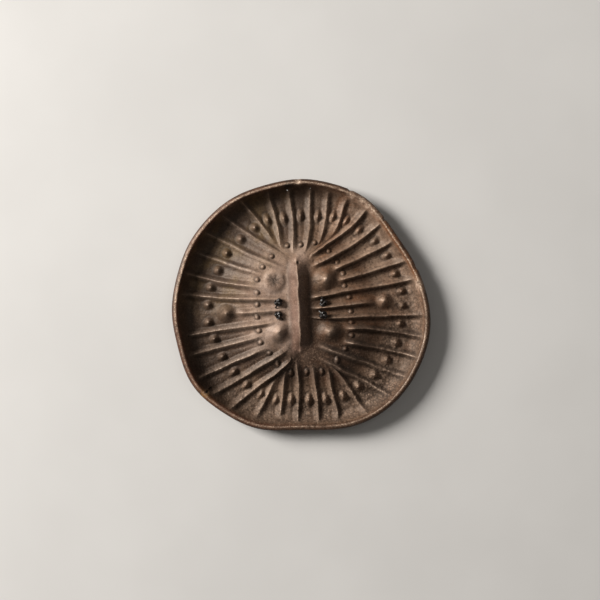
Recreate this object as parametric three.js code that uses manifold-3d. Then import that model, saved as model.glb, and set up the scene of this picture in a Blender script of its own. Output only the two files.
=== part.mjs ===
// A round shield of thick embossed hide, lying on its back with its face up.
// Millimetres, +Z up. The origin is under the middle of its outline, on the surface it lies on.
// +Y runs along the raised middle ridge, towards the edge with the two pierced holes.
import * as THREE from "three";
import { mergeVertices } from "three/addons/utils/BufferGeometryUtils.js";
import Module from "manifold-3d";

const wasm = await Module();
wasm.setup();

// ---- Driving sizes ----
const HIDE = 7.5; // thickness of the hide
const BEAD_R = 6.5; // the rolled edge
const BEAD_Z = 33.5; // middle of the rolled edge above the ground
const WALL_IN = 13; // where the upturned wall starts, measured in from the edge
const RING_OUT = 44; // the flat ring that the shield lies on, measured in from the edge
const RING_IN = 58;
const DOME_IN = 190; // where the dome has reached the middle panel
const DOME_RISE = 42;
const CROWN_RISE = 3; // the panel's own slight crown
const RIDGE_H = 7.5; // the radiating creases
const RIDGE_W = 5;
const SPINE_H = 24; // the middle ridge
const SPINE_LEFT = 21; // foot of its left and right flanks
const SPINE_RIGHT = 25;
const SPINE_HALF = 84; // half its crest length
const SPINE_END = 113; // where its hipped ends run out
const RIM_BOSS_H = 10; // the 34 bosses of the outer ring
const KNOB_R = 5.6; // the small bosses of the inner ring
const KNOB_H = 4.5;
const THONG_R = 2; // the grip's lashings
const THONG_HOLE_R = 2.6;
const KNOT_R = 8.2;
const KNOT_H = 5.4;
const GRIP_DROP = 26; // how far the grip bows away from the hide
const GRIP_THICK = 5;
const GRIP_TAB = 40; // width of its flat ends
const GRIP_HOLD = 27; // width where the hand holds it
const GRIP_REACH = 64; // half its length
const FIT = 0.3; // clearance between touching pieces

// Where the crest of the middle ridge lies: its middle, and the way to its upper end
const SPINE_MID = [-5.6, 0];
const SPINE_UP = [-3.4, 80];

// The outline is a circle with a few waves: amplitude in mm and phase in degrees of each.
const OUTLINE = [
  [287.26, 0],
  [10.09, -106.8],
  [4.23, -74.5],
  [7.44, -86.3],
  [3.53, -139.5],
  [1.99, 24],
  [1.82, 7.3],
  [0.51, -18.9],
  [0.29, -117.1],
  [0.93, 134.8],
  [0.29, -4.7],
  [0.87, -115.5],
  [0.22, 42.8],
];

// The creases, clockwise from the top: where each starts and ends between the spine (0) and the edge (1),
// then its bearing in degrees as a cubic in the distance from the edge. The last four numbers are the
// sector clockwise of it: place, half width and half length of its rim boss, and place of its small
// boss, or 0 where it has none.
const SECTORS = [
  [0.191, 0.887, 95.4, 11, -49, 55.3, 0.594, 10, 17, 0.274],
  [0.215, 0.883, 85.6, -1, -20.7, 3.8, 0.625, 9, 17, 0.348],
  [0.346, 0.897, 77.7, -15.8, 2.6, -24.8, 0.678, 9, 16, 0],
  [0.498, 0.89, 65.4, 19.1, -147, 164.7, 0.709, 8, 15, 0],
  [0.208, 0.906, 55.5, -8.5, -0.6, 34.1, 0.733, 11, 15, 0.385],
  [0.179, 0.926, 45.5, -2.8, -17.6, 32, 0.802, 11, 13, 0.407],
  [0.363, 0.932, 35, -10.9, 16.9, -7.7, 0.827, 11, 13, 0.412],
  [0.36, 0.929, 22.7, -2.9, -3.2, 8.1, 0.811, 12, 12, 0.384],
  [0.109, 0.924, 13.4, -9.8, 19.6, -16.6, 0.816, 11, 11, 0.396],
  [0.105, 0.585, 2.4, 5.2, -14.7, 0, 0.798, 11, 11, 0.393],
  [0.105, 0.936, -3.7, -10.5, 14.8, -22.4, 0.772, 12, 12, 0.401],
  [0.376, 0.937, -14.6, -1.5, 14.7, -39.3, 0.767, 14, 14, 0.419],
  [0.389, 0.938, -24.2, 2.8, -25.8, 9.3, 0.745, 14, 14, 0.409],
  [0.208, 0.928, -33.4, -12.1, 19.6, -31.5, 0.724, 14, 14, 0.397],
  [0.251, 0.926, -44.8, -7.2, 13.1, -42.2, 0.689, 13, 15, 0],
  [0.407, 0.928, -57.9, -10.2, 61.3, -51.6, 0.689, 11, 15, 0],
  [0.401, 0.9, -75.7, 47.2, -124, 155.6, 0.67, 11, 17, 0.392],
  [0.285, 0.901, -82.8, 15, -14.2, 18.5, 0.668, 11, 17, 0.353],
  [0.231, 0.895, -91.1, -12, 55.5, -66.6, 0.66, 11, 17, 0.365],
  [0.365, 0.838, -97.9, -33.3, 95.1, -114.1, 0.672, 9, 17, 0],
  [0.486, 0.895, -113.7, 15.1, -52.4, 48.3, 0.67, 9, 15, 0],
  [0.21, 0.932, -125.7, 15, -31.7, 61.3, 0.671, 10, 15, 0.337],
  [0.173, 0.911, -136.3, 14.9, -24.6, 33.2, 0.662, 11, 15, 0.324],
  [0.307, 0.92, -144.9, 1.2, 2.7, 8.3, 0.684, 11, 13, 0.348],
  [0.314, 0.913, -156, -0.6, 15.2, -9.4, 0.703, 13, 13, 0.337],
  [0.158, 0.892, -164.6, -5.4, 14.7, -3.7, 0.725, 13, 13, 0.334],
  [0.089, 0.496, -175.8, 5.4, -3.7, 0, 0.719, 13, 13, 0.328],
  [0.088, 0.913, -185, 1.9, 2.8, -8.2, 0.718, 13, 13, 0.335],
  [0.291, 0.935, -195.3, 4.9, 0.9, -12.5, 0.693, 13, 13, 0.352],
  [0.304, 0.896, -205.2, -9, 30.8, -32.8, 0.682, 13, 13, 0.34],
  [0.132, 0.937, -216, -9.1, 27.2, -35.1, 0.651, 13, 13, 0.316],
  [0.18, 0.904, -227.2, -9.7, 26.9, -47.6, 0.634, 13, 13, 0],
  [0.412, 0.944, -239.3, -1.6, -14.4, 20.4, 0.637, 11, 17, 0],
  [0.313, 0.907, -254.4, 16.4, -59, 85.8, 0.594, 11, 17, 0.296],
];
const N = SECTORS.length;

// The larger bosses: place on the face (x, y), radius and height. Four stand beside the spine and
// two at the ends of the short creases. The first one's top has sunk in.
const BOSSES = [
  [-59.5, 53, 27, 12],
  [54.6, 57.6, 27, 17],
  [-48.3, -60, 26, 16],
  [64.7, -61, 26, 16],
  [-167, -19.6, 21, 14],
  [186.6, 9.5, 21, 14],
];
const KNOTS_X = [-50, 49.6];
const KNOTS_Y = [5, -23];
// Small holes pierced near the edge: place and radius
const PIERCED = [
  [-31.6, 257.6, 1.9],
  [19.9, 261.4, 1.9],
  [-264.2, -73.2, 1.7],
  [-212.2, -195.6, 2],
];

const rad = THREE.MathUtils.degToRad;
const clamp = THREE.MathUtils.clamp;
const smooth = (a, b, v) => THREE.MathUtils.smoothstep(v, a, b);

function edgeRadius(f) {
  return OUTLINE.reduce((r, [a, p], k) => r + a * Math.cos(k * f - rad(p)), 0);
}

// The face has its own coordinates: s runs from the spine's crest (0) to the edge (1) along a straight
// line, and f is the bearing at which that line meets the edge.
function place(s, f) {
  const r = edgeRadius(f) * s,
    up = (1 - s) * Math.sin(f);
  return [
    (1 - s) * SPINE_MID[0] + up * SPINE_UP[0] + r * Math.cos(f),
    (1 - s) * SPINE_MID[1] + up * SPINE_UP[1] + r * Math.sin(f),
  ];
}
function lineLength(f) {
  const [x0, y0] = place(0, f),
    [x1, y1] = place(1, f);
  return Math.hypot(x1 - x0, y1 - y0);
}
function locate(x, y) {
  let f = Math.atan2(y, x),
    s = clamp(Math.hypot(x, y) / edgeRadius(f), 0.1, 0.95);
  for (let i = 0; i < 80; i++) {
    const [px, py] = place(s, f),
      h = 1e-5,
      [ax, ay] = place(s + h, f),
      [bx, by] = place(s, f + h);
    const a = (ax - px) / h,
      b = (bx - px) / h,
      c = (ay - py) / h,
      d = (by - py) / h,
      det = a * d - b * c;
    const ds = (d * (px - x) - b * (py - y)) / det,
      df = (a * (py - y) - c * (px - x)) / det,
      n = Math.max(1, Math.abs(ds) / 0.1, Math.abs(df) / 0.1);
    s -= ds / n;
    f -= df / n;
  }
  return [s, f];
}

// Bearing of crease k at s, held from its own start inwards
function ownBearing(k, s) {
  const [s0, , a, b, c, d] = SECTORS[k],
    u = 1 - Math.max(s, s0);
  return rad(a + b * u + c * u * u + d * u * u * u);
}
// Moves bearings that are too close, or out of order, apart
function spaced(f, least, ease) {
  for (let i = 0, moved = true; i < 400 && moved; i++) {
    moved = false;
    for (let k = 0; k < N; k++) {
      const next = k + 1 < N ? f[k + 1] : f[0] - 2 * Math.PI,
        gap = f[k] - next;
      if (gap >= least - 1e-6) continue;
      moved = true;
      const a = ease(k),
        b = ease((k + 1) % N),
        push = least - gap;
      f[k] += (push * a) / (a + b);
      f[(k + 1) % N] -= (push * b) / (a + b);
    }
  }
  return f;
}
// On the crest itself the bearings are the same on both sides, so that the two sides meet.
const crestBearings = (() => {
  const f = spaced(
    SECTORS.map((_, k) => ownBearing(k, 0)),
    rad(6),
    () => 1,
  );
  const other = (k) => (k < 2 ? f[1 - k] : f[N + 1 - k] + 2 * Math.PI);
  return f.map((a, k) => (a + Math.PI - other(k)) / 2);
})();
function crease(k, s) {
  return THREE.MathUtils.lerp(
    crestBearings[k],
    ownBearing(k, s),
    smooth(0, 1, Math.min(1, s / SECTORS[k][0])),
  );
}
// All creases at s, kept in order and apart
const known = new Map();
function creases(s) {
  if (!known.has(s))
    known.set(
      s,
      spaced(
        SECTORS.map((_, k) => crease(k, s)),
        rad(3.2),
        (k) => (s < SECTORS[k][0] ? 1 : 0.15),
      ),
    );
  return known.get(s);
}

// Height of the plain face and of the plain back, d mm in from the edge
function domeShare(d) {
  const u = clamp((d - RING_IN) / (DOME_IN - RING_IN), 0, 1);
  return u - (0.4 * Math.sin(2 * Math.PI * u)) / (2 * Math.PI);
}
function faceHeight(d) {
  if (d < RING_OUT)
    return HIDE + 26.5 * ((RING_OUT - d) / (RING_OUT - WALL_IN)) ** 2.2;
  return (
    HIDE +
    DOME_RISE * domeShare(d) +
    CROWN_RISE * (1 - Math.exp(-Math.max(0, d - DOME_IN) / 40))
  );
}
function backHeight(d) {
  if (d < RING_OUT) return 25 * ((RING_OUT - d) / 36) ** 2;
  return DOME_RISE * domeShare(d);
}

// The middle ridge, hipped at both ends
function spine(x, y) {
  const len = Math.hypot(...SPINE_UP),
    ux = SPINE_UP[0] / len,
    uy = SPINE_UP[1] / len,
    px = x - SPINE_MID[0],
    py = y - SPINE_MID[1],
    along = px * ux + py * uy,
    across = px * uy - py * ux;
  const side = Math.abs(across) / (across < 0 ? SPINE_LEFT : SPINE_RIGHT);
  const end = clamp((SPINE_END - Math.abs(along)) / (SPINE_END - SPINE_HALF), 0, 1);
  return SPINE_H * clamp(1 - side, 0, 1) ** 1.15 * end;
}

// Height that the crease at bearing fk adds at (s, f)
function creaseHeight(k, fk, s, f) {
  const [s0, s1] = SECTORS[k],
    [x, y] = place(s, f),
    [kx, ky] = place(s, fk),
    gone = SECTORS[k][1] < 0.7 ? smooth(s1, s1 - 0.04, s) : 1;
  const d = (1 - s) * lineLength(f);
  return (
    RIDGE_H *
    smooth(s0 - 0.03, s0 + 0.06, s) *
    gone *
    smooth(WALL_IN, 34, d) *
    Math.exp(-Math.hypot(x - kx, y - ky) / RIDGE_W)
  );
}

// ---- Mesh helpers ----
function toSolid(geometry) {
  const g = geometry.clone();
  for (const name of Object.keys(g.attributes))
    if (name !== "position") g.deleteAttribute(name);
  const m = mergeVertices(g, 1e-4);
  return new wasm.Manifold(
    new wasm.Mesh({
      numProp: 3,
      vertProperties: new Float32Array(m.attributes.position.array),
      triVerts: new Uint32Array(m.index.array),
    }),
  );
}
function toGeometry(solid) {
  const m = solid.getMesh();
  const g = new THREE.BufferGeometry();
  g.setAttribute(
    "position",
    new THREE.BufferAttribute(new Float32Array(m.vertProperties), 3),
  );
  g.setIndex(new THREE.BufferAttribute(new Uint32Array(m.triVerts), 1));
  g.computeVertexNormals();
  return g;
}
function indexed(points, faces) {
  const g = new THREE.BufferGeometry();
  g.setAttribute(
    "position",
    new THREE.BufferAttribute(new Float32Array(points.flat()), 3),
  );
  g.setIndex(faces.flat());
  return g;
}

// ---- The hide ----
const FACE_STEPS = 8; // rows from the crest to the flat ring
const COLUMNS = [0, 0.17, 0.5, 0.83]; // places across a sector, crest at 0
const M = COLUMNS.length;
const HALF_TURN = (N * M) / 2;

// Bearings of all columns at s
function columns(s) {
  const f = creases(s),
    all = [];
  for (let k = 0; k < N; k++) {
    const next = k + 1 < N ? f[k + 1] : f[0] - 2 * Math.PI;
    for (const t of COLUMNS) all.push(f[k] + (next - f[k]) * t);
  }
  return all;
}
const mirror = (j) => (M - j + N * M) % (N * M); // the column across the crest

function hideGeometry() {
  const points = [],
    faces = [],
    total = N * M;
  const add = (x, y, z) => points.push([x, y, z]) - 1;
  const lengths = (f) => lineLength(f);

  // crest row, shared by the columns on both sides of it
  const steady = columns(0);
  const crest = Array(total).fill(-1);
  const low = Array(total).fill(-1);
  for (let j = 0; j < total; j++) {
    const twin = mirror(j);
    if (crest[twin] >= 0) {
      crest[j] = crest[twin];
      low[j] = low[twin];
      continue;
    }
    const [x, y] = place(0, steady[j]),
      d = lengths(steady[j]);
    crest[j] = add(x, y, faceHeight(d) + spine(x, y));
    low[j] = add(x, y, backHeight(d) + 0.8 * spine(x, y));
  }

  // rows of the face: by share of the way to the flat ring, then by distance from the edge
  const rows = [crest];
  const faceRow = (sOf) => {
    const base = columns(sOf(0));
    return base.map((_, j) => {
      // the share of the way differs a little from line to line, so each column is taken at its own
      let f = base[j];
      const s = sOf(f);
      f = columns(s)[j];
      const [x, y] = place(s, f),
        k = Math.floor(j / M),
        here = creases(s);
      const next = (k + 1) % N;
      const raised = Math.max(
        creaseHeight(k, here[k], s, f),
        creaseHeight(next, here[next], s, f),
      );
      const d = (1 - s) * lengths(f);
      return [x, y, faceHeight(d) + spine(x, y) + raised, raised, d];
    });
  };
  const toRing = (share) => (f) => share * (1 - RING_IN / lengths(f));
  const fromEdge = (d) => (f) => 1 - d / lengths(f);
  for (let i = 1; i <= FACE_STEPS; i++)
    rows.push(
      faceRow(toRing((i / FACE_STEPS) ** 0.92)).map(([x, y, z]) =>
        add(x, y, z),
      ),
    );
  for (const d of [RING_OUT, 28, WALL_IN])
    rows.push(faceRow(fromEdge(d)).map(([x, y, z]) => add(x, y, z)));

  // the rolled edge, from its inner side over the top to its underside
  const rim = columns(1);
  for (const a of [40, 90, 140, 200]) {
    const d = BEAD_R + BEAD_R * Math.cos(rad(a)),
      z = BEAD_Z + BEAD_R * Math.sin(rad(a));
    rows.push(
      rim.map((f) => {
        const [x, y] = place(1 - d / lengths(f), f);
        return add(x, y, z);
      }),
    );
  }
  const strip = (a, b) => {
    for (let j = 0; j < total; j++) {
      const n = (j + 1) % total;
      if (a[j] !== a[n]) faces.push([a[j], b[n], a[n]]);
      faces.push([a[j], b[j], b[n]]);
    }
  };
  for (let i = 0; i + 1 < rows.length; i++) strip(rows[i], rows[i + 1]);

  // the back has every second column
  const half = total / 2;
  const backRow = (sOf) =>
    Array.from({ length: half }, (_, i) => {
      let f = columns(sOf(0))[2 * i];
      const s = sOf(f);
      f = columns(s)[2 * i];
      const [x, y] = place(s, f),
        d = (1 - s) * lengths(f),
        k = Math.floor((2 * i) / M);
      const sunk =
        (2 * i) % M === 0
          ? 0.45 * creaseHeight(k, creases(s)[k], s, f) * smooth(RING_IN, 90, d)
          : 0;
      return add(x, y, backHeight(d) + 0.8 * spine(x, y) + sunk);
    });
  const back = [
    backRow(fromEdge(10)),
    backRow(fromEdge(25)),
    backRow(fromEdge(RING_OUT)),
    backRow(fromEdge(RING_IN)),
  ];
  for (const share of [0.78, 0.54, 0.34, 0.16])
    back.push(backRow(toRing(share)));
  back.push(Array.from({ length: half }, (_, i) => low[2 * i]));

  const outer = rows[rows.length - 1];
  for (let i = 0; i < half; i++) {
    const n = (i + 1) % half;
    const a = outer[2 * i],
      b = outer[2 * i + 1],
      c = outer[(2 * i + 2) % total];
    faces.push([a, back[0][i], b], [b, back[0][i], back[0][n]], [b, back[0][n], c]);
  }
  for (let r = 0; r + 1 < back.length; r++)
    for (let i = 0; i < half; i++) {
      const n = (i + 1) % half,
        a = back[r],
        b = back[r + 1];
      faces.push([a[i], b[i], b[n]]);
      if (a[i] !== a[n]) faces.push([a[i], b[n], a[n]]);
    }
  return indexed(
    points,
    faces
      .filter(([a, b, c]) => a !== b && b !== c && a !== c)
      .map(([a, b, c]) => [a, c, b]),
  );
}

// Height of the face at any place, without its bosses
function faceAt(x, y) {
  const [s, f] = locate(x, y),
    here = creases(s),
    d = (1 - s) * lineLength(f);
  let raised = 0;
  here.forEach((fk, k) => {
    const near = Math.abs(Math.atan2(Math.sin(fk - f), Math.cos(fk - f)));
    if (near < 0.5) raised = Math.max(raised, creaseHeight(k, fk, s, f));
  });
  return faceHeight(d) + spine(x, y) + raised;
}
function plainAt(x, y) {
  const [s, f] = locate(x, y);
  return faceHeight((1 - s) * lineLength(f)) + spine(x, y);
}

// A boss: a cone with hollowed sides and a blunt top, standing square to the hide
function bossSolid(x, y, radius, long, height, sides, sunk = 0) {
  const profile = [
    [0, -3.5],
    [1, -0.5],
    [0.52, height * 0.52],
    [0.16 + 0.2 * sunk, height * 0.93],
    [0, height * (1 - sunk)],
  ]
    .filter((_, i) => radius > 15 || i !== 3)
    .filter((_, i) => radius > 8 || i !== 2)
    .map(([r, h]) => new THREE.Vector2(r * radius, h));
  const g = new THREE.LatheGeometry(profile, sides);
  g.scale(1, 1, long / radius);
  g.rotateX(Math.PI / 2); // axis to +Z, its long way to Y
  const turn = Math.atan2(y, x) - Math.PI / 2;
  g.rotateZ(turn);
  const h = 4,
    nx = -(plainAt(x + h, y) - plainAt(x - h, y)) / (2 * h),
    ny = -(plainAt(x, y + h) - plainAt(x, y - h)) / (2 * h);
  const up = new THREE.Vector3(nx, ny, 1).normalize();
  g.applyQuaternion(
    new THREE.Quaternion().setFromUnitVectors(new THREE.Vector3(0, 0, 1), up),
  );
  g.translate(x, y, plainAt(x, y) - 0.4);
  return toSolid(g);
}
function cylinder(r, x, y, z0, z1, sides = 10) {
  const g = new THREE.CylinderGeometry(r, r, z1 - z0, sides);
  g.rotateX(Math.PI / 2);
  g.translate(x, y, (z0 + z1) / 2);
  return toSolid(g);
}

let hide = toSolid(hideGeometry());
for (let k = 0; k < N; k++) {
  const [, , , , , , at, wide, long, knobAt] = SECTORS[k];
  const between = (s) => {
    const f = creases(s),
      next = k + 1 < N ? f[k + 1] : f[0] - 2 * Math.PI;
    return place(s, (f[k] + next) / 2);
  };
  hide = hide.add(bossSolid(...between(at), wide, long, RIM_BOSS_H, 6));
  if (knobAt)
    hide = hide.add(bossSolid(...between(knobAt), KNOB_R, KNOB_R, KNOB_H, 5));
}
BOSSES.forEach(([x, y, r, h], i) => {
  hide = hide.add(bossSolid(x, y, r, r, h, 12, i === 0 ? 0.35 : 0));
});
for (const x of KNOTS_X)
  for (const y of KNOTS_Y)
    hide = hide.subtract(cylinder(THONG_HOLE_R, x, y, 20, 90, 8));
for (const [x, y, r] of PIERCED)
  hide = hide.subtract(cylinder(r, x, y, -10, 60, 8));

// ---- The grip: a leather band bowed away from the hide, flat at both ends ----
const PANEL_BACK = DOME_RISE; // the flat back of the middle panel
const GRIP_X = (KNOTS_X[0] + KNOTS_X[1]) / 2;
const GRIP_Y = (KNOTS_Y[0] + KNOTS_Y[1]) / 2;
const GRIP_TAB_IN = 38; // inner end of its flat tabs, from its middle

function gripGeometry() {
  const steps = 12,
    around = 8,
    points = [],
    faces = [];
  for (let i = 0; i <= steps; i++) {
    const u = (i / steps) * 2 - 1,
      x = u * GRIP_REACH,
      bow = clamp((GRIP_TAB_IN - Math.abs(x)) / GRIP_TAB_IN, 0, 1),
      z = PANEL_BACK - FIT - GRIP_THICK / 2 - GRIP_DROP * smooth(0, 1, bow),
      mid = smooth(0, 0.8, bow),
      wide = THREE.MathUtils.lerp(GRIP_TAB, GRIP_HOLD, mid) / 2,
      half = THREE.MathUtils.lerp(GRIP_THICK, GRIP_THICK + 4, mid) / 2,
      // how steeply the band climbs here
      tilt = Math.atan(
        (Math.sign(x) * GRIP_DROP * 6 * bow * (1 - bow)) / GRIP_TAB_IN,
      );
    for (let a = 0; a < around; a++) {
      const q = ((a + 0.5) / around) * 2 * Math.PI,
        // a flat oblong with eased edges
        cy = Math.sign(Math.cos(q)) * Math.abs(Math.cos(q)) ** 0.35,
        cz = Math.sign(Math.sin(q)) * Math.abs(Math.sin(q)) ** 0.6;
      points.push([
        GRIP_X + x - Math.sin(tilt) * cz * half,
        GRIP_Y + (cy / 0.9726) * wide,
        z + (Math.cos(tilt) * cz * half) / 0.9537,
      ]);
    }
  }
  for (let i = 0; i < steps; i++)
    for (let a = 0; a < around; a++) {
      const n = (a + 1) % around,
        p = i * around,
        q = p + around;
      faces.push([p + a, p + n, q + n], [p + a, q + n, q + a]);
    }
  for (let a = 1; a + 1 < around; a++) {
    const q = steps * around;
    faces.push([0, a + 1, a], [q, q + a, q + a + 1]);
  }
  return indexed(points, faces);
}
let grip = toSolid(gripGeometry());
for (const x of KNOTS_X)
  for (const y of KNOTS_Y)
    grip = grip.subtract(cylinder(THONG_HOLE_R, x, y, 20, 60, 8));

// ---- The thongs: a knot on the face at each end, and a run across the tab behind ----
function thong(x) {
  const runZ = PANEL_BACK - 2 * FIT - GRIP_THICK - THONG_R - 0.6;
  let solid = null;
  const join = (s) => (solid = solid ? solid.add(s) : s);
  for (const y of KNOTS_Y) {
    let top = 0;
    for (let a = 0; a < 8; a++)
      for (const r of [0, 0.5, 1])
        top = Math.max(
          top,
          faceAt(
            x + r * 5 * Math.cos((a * Math.PI) / 4),
            y + r * 5 * Math.sin((a * Math.PI) / 4),
          ),
        );
    const knot = new THREE.SphereGeometry(1, 8, 5);
    knot.scale(KNOT_R, KNOT_R * 0.9, KNOT_H);
    knot.translate(x, y, top + KNOT_H + FIT + 0.5);
    join(toSolid(knot));
    join(cylinder(THONG_R, x, y, runZ, top + KNOT_H, 8));
    const elbow = new THREE.SphereGeometry(THONG_R * 1.02, 6, 3);
    elbow.translate(x, y, runZ);
    join(toSolid(elbow));
  }
  const run = new THREE.CylinderGeometry(
    THONG_R,
    THONG_R,
    Math.abs(KNOTS_Y[0] - KNOTS_Y[1]),
    8,
  );
  run.translate(x, GRIP_Y, runZ);
  join(toSolid(run));
  return solid;
}

// ---- The shield ----
const group = new THREE.Group();
function piece(name, solid, color, roughness) {
  const mesh = new THREE.Mesh(
    toGeometry(solid),
    new THREE.MeshStandardMaterial({ color, roughness, metalness: 0 }),
  );
  mesh.name = name;
  group.add(mesh);
}
piece("shield_hide", hide, 0x5b4436, 0.55);
piece("hand_grip", grip, 0x4a3527, 0.7);
piece("thong_left", thong(KNOTS_X[0]), 0x1d1511, 0.35);
piece("thong_right", thong(KNOTS_X[1]), 0x1d1511, 0.35);

export default group;
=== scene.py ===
import math
import bpy
import bmesh
import numpy as np
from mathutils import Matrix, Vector, kdtree


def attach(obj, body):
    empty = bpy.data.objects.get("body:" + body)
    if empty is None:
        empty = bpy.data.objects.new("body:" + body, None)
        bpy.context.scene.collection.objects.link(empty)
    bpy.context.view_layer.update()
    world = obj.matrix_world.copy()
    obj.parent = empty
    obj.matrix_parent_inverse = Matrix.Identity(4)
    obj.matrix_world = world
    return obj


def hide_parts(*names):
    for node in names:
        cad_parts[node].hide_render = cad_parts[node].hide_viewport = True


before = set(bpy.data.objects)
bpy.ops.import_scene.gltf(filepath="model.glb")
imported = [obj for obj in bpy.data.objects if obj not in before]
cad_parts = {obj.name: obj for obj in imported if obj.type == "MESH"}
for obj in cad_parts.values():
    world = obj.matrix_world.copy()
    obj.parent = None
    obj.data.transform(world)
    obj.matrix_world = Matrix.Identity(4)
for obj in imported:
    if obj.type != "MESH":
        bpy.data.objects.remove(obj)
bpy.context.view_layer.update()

MM = 0.001
SEED = 7

# ------------------------------------------------------------------ sizes, in millimetres
HIDE = 7.5
RIM_IN = 13.4        # where the upturned wall passes into the rolled edge, from the edge
RIM_TOP_IN = 9.5     # the crest of the rolled edge
RIM_TOP = 40.0
RIM_MID = 32.5
RING_OUT, RING_IN = 44.0, 58.0
DOME_IN = 190.0
DOME_RISE, CROWN_RISE = 42.0, 3.0
SPINE_H, SPINE_LEFT, SPINE_RIGHT = 24.0, 21.0, 25.0
SPINE_HALF, SPINE_END = 84.0, 113.0
SPINE_MID, SPINE_UP = (-5.6, 0.0), (-3.4, 80.0)

OUTLINE = [
    (287.26, 0), (10.09, -106.8), (4.23, -74.5), (7.44, -86.3), (3.53, -139.5), (1.99, 24), (1.82, 7.3),
    (0.51, -18.9), (0.29, -117.1), (0.93, 134.8), (0.29, -4.7), (0.87, -115.5), (0.22, 42.8),
]

# Creases clockwise from the top: start, end, bearing at the edge and its cubic, then the half width and
# half length of the rim boss clockwise of it, and the place of that boss and of the small boss, as
# (share of the way out, bearing), or None.
SECTORS = [
    (0.191, 0.887, 95.4, 11, -49, 55.3, 10, 17, (0.594, 89.2), (0.274, 85.3)),
    (0.215, 0.883, 85.6, -1, -20.7, 3.8, 9, 17, (0.625, 76.8), (0.348, 68.5)),
    (0.346, 0.897, 77.7, -15.8, 2.6, -24.8, 9, 16, (0.678, 67.0), None),
    (0.498, 0.89, 65.4, 19.1, -147, 164.7, 8, 15, (0.709, 58.6), None),
    (0.208, 0.906, 55.5, -8.5, -0.6, 34.1, 11, 15, (0.733, 49.2), (0.385, 51.0)),
    (0.179, 0.926, 45.5, -2.8, -17.6, 32, 11, 13, (0.802, 38.9), (0.407, 38.2)),
    (0.363, 0.932, 35, -10.9, 16.9, -7.7, 11, 13, (0.827, 28.4), (0.412, 26.9)),
    (0.36, 0.929, 22.7, -2.9, -3.2, 8.1, 12, 12, (0.811, 17.2), (0.384, 15.9)),
    (0.109, 0.924, 13.4, -9.8, 19.6, -16.6, 11, 11, (0.816, 7.3), (0.396, 6.2)),
    (0.105, 0.585, 2.4, 5.2, -14.7, 0, 11, 11, (0.798, -0.5), (0.393, -4.9)),
    (0.105, 0.936, -3.7, -10.5, 14.8, -22.4, 12, 12, (0.772, -9.9), (0.401, -13.4)),
    (0.376, 0.937, -14.6, -1.5, 14.7, -39.3, 14, 14, (0.767, -20.0), (0.419, -23.5)),
    (0.389, 0.938, -24.2, 2.8, -25.8, 9.3, 14, 14, (0.745, -30.3), (0.409, -35.0)),
    (0.208, 0.928, -33.4, -12.1, 19.6, -31.5, 14, 14, (0.724, -40.7), (0.397, -46.9)),
    (0.251, 0.926, -44.8, -7.2, 13.1, -42.2, 13, 15, (0.689, -51.6), None),
    (0.407, 0.928, -57.9, -10.2, 61.3, -51.6, 11, 15, (0.689, -62.3), None),
    (0.401, 0.9, -75.7, 47.2, -124, 155.6, 11, 17, (0.670, -73.3), (0.392, -65.7)),
    (0.285, 0.901, -82.8, 15, -14.2, 18.5, 11, 17, (0.668, -84.5), (0.353, -82.0)),
    (0.231, 0.895, -91.1, -12, 55.5, -66.6, 11, 17, (0.660, -96.7), (0.365, -101.6)),
    (0.365, 0.838, -97.9, -33.3, 95.1, -114.1, 9, 17, (0.672, -106.7), None),
    (0.486, 0.895, -113.7, 15.1, -52.4, 48.3, 9, 15, (0.670, -116.9), None),
    (0.21, 0.932, -125.7, 15, -31.7, 61.3, 10, 15, (0.671, -127.6), (0.337, -120.9)),
    (0.173, 0.911, -136.3, 14.9, -24.6, 33.2, 11, 15, (0.662, -138.6), (0.324, -134.6)),
    (0.307, 0.92, -144.9, 1.2, 2.7, 8.3, 11, 13, (0.684, -149.8), (0.348, -147.4)),
    (0.314, 0.913, -156, -0.6, 15.2, -9.4, 13, 13, (0.703, -160.5), (0.337, -157.3)),
    (0.158, 0.892, -164.6, -5.4, 14.7, -3.7, 13, 13, (0.725, -170.4), (0.334, -169.7)),
    (0.089, 0.496, -175.8, 5.4, -3.7, 0, 13, 13, (0.719, -179.9), (0.328, -180.0)),
    (0.088, 0.913, -185, 1.9, 2.8, -8.2, 13, 13, (0.718, 170.0), (0.335, 169.7)),
    (0.291, 0.935, -195.3, 4.9, 0.9, -12.5, 13, 13, (0.693, 159.5), (0.352, 158.7)),
    (0.304, 0.896, -205.2, -9, 30.8, -32.8, 13, 13, (0.682, 148.3), (0.340, 145.7)),
    (0.132, 0.937, -216, -9.1, 27.2, -35.1, 13, 13, (0.651, 136.2), (0.316, 131.5)),
    (0.18, 0.904, -227.2, -9.7, 26.9, -47.6, 13, 13, (0.634, 123.9), None),
    (0.412, 0.944, -239.3, -1.6, -14.4, 20.4, 11, 17, (0.637, 113.7), None),
    (0.313, 0.907, -254.4, 16.4, -59, 85.8, 11, 17, (0.594, 102.4), (0.296, 107.8)),
]
N = len(SECTORS)
# how strongly each crease stands out, and which creases are pressed as a fine pair of lines
CREASE_H = [5.6, 5.6, 5.6, 6.6, 9.5, 10.0, 10.0, 10.0, 10.0, 9.5, 10.0, 10.5, 10.0, 9.0, 7.5, 7.0, 8.0, 8.0, 8.0,
            7.0, 7.0, 8.0, 8.0, 7.5, 7.5, 7.0, 6.5, 7.0, 6.5, 5.5, 5.0, 5.0, 5.4, 5.8]
DOUBLED = {13, 14, 29, 30, 31}

BOSSES = [  # x, y, radius, height
    (-59.5, 53, 27, 12), (54.6, 57.6, 29, 22), (-50, -59, 29, 20), (64.7, -59, 28, 20),
    (-167, -19.6, 22, 24), (186.6, 9.5, 20, 19),
]
KNOTS_X, KNOTS_Y = (-50.0, 49.6), (5.0, -23.0)
PIERCED = [(-31.6, 257.6, 1.9), (19.9, 261.4, 1.9), (-264.2, -73.2, 1.7), (-212.2, -195.6, 2.0)]


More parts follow.
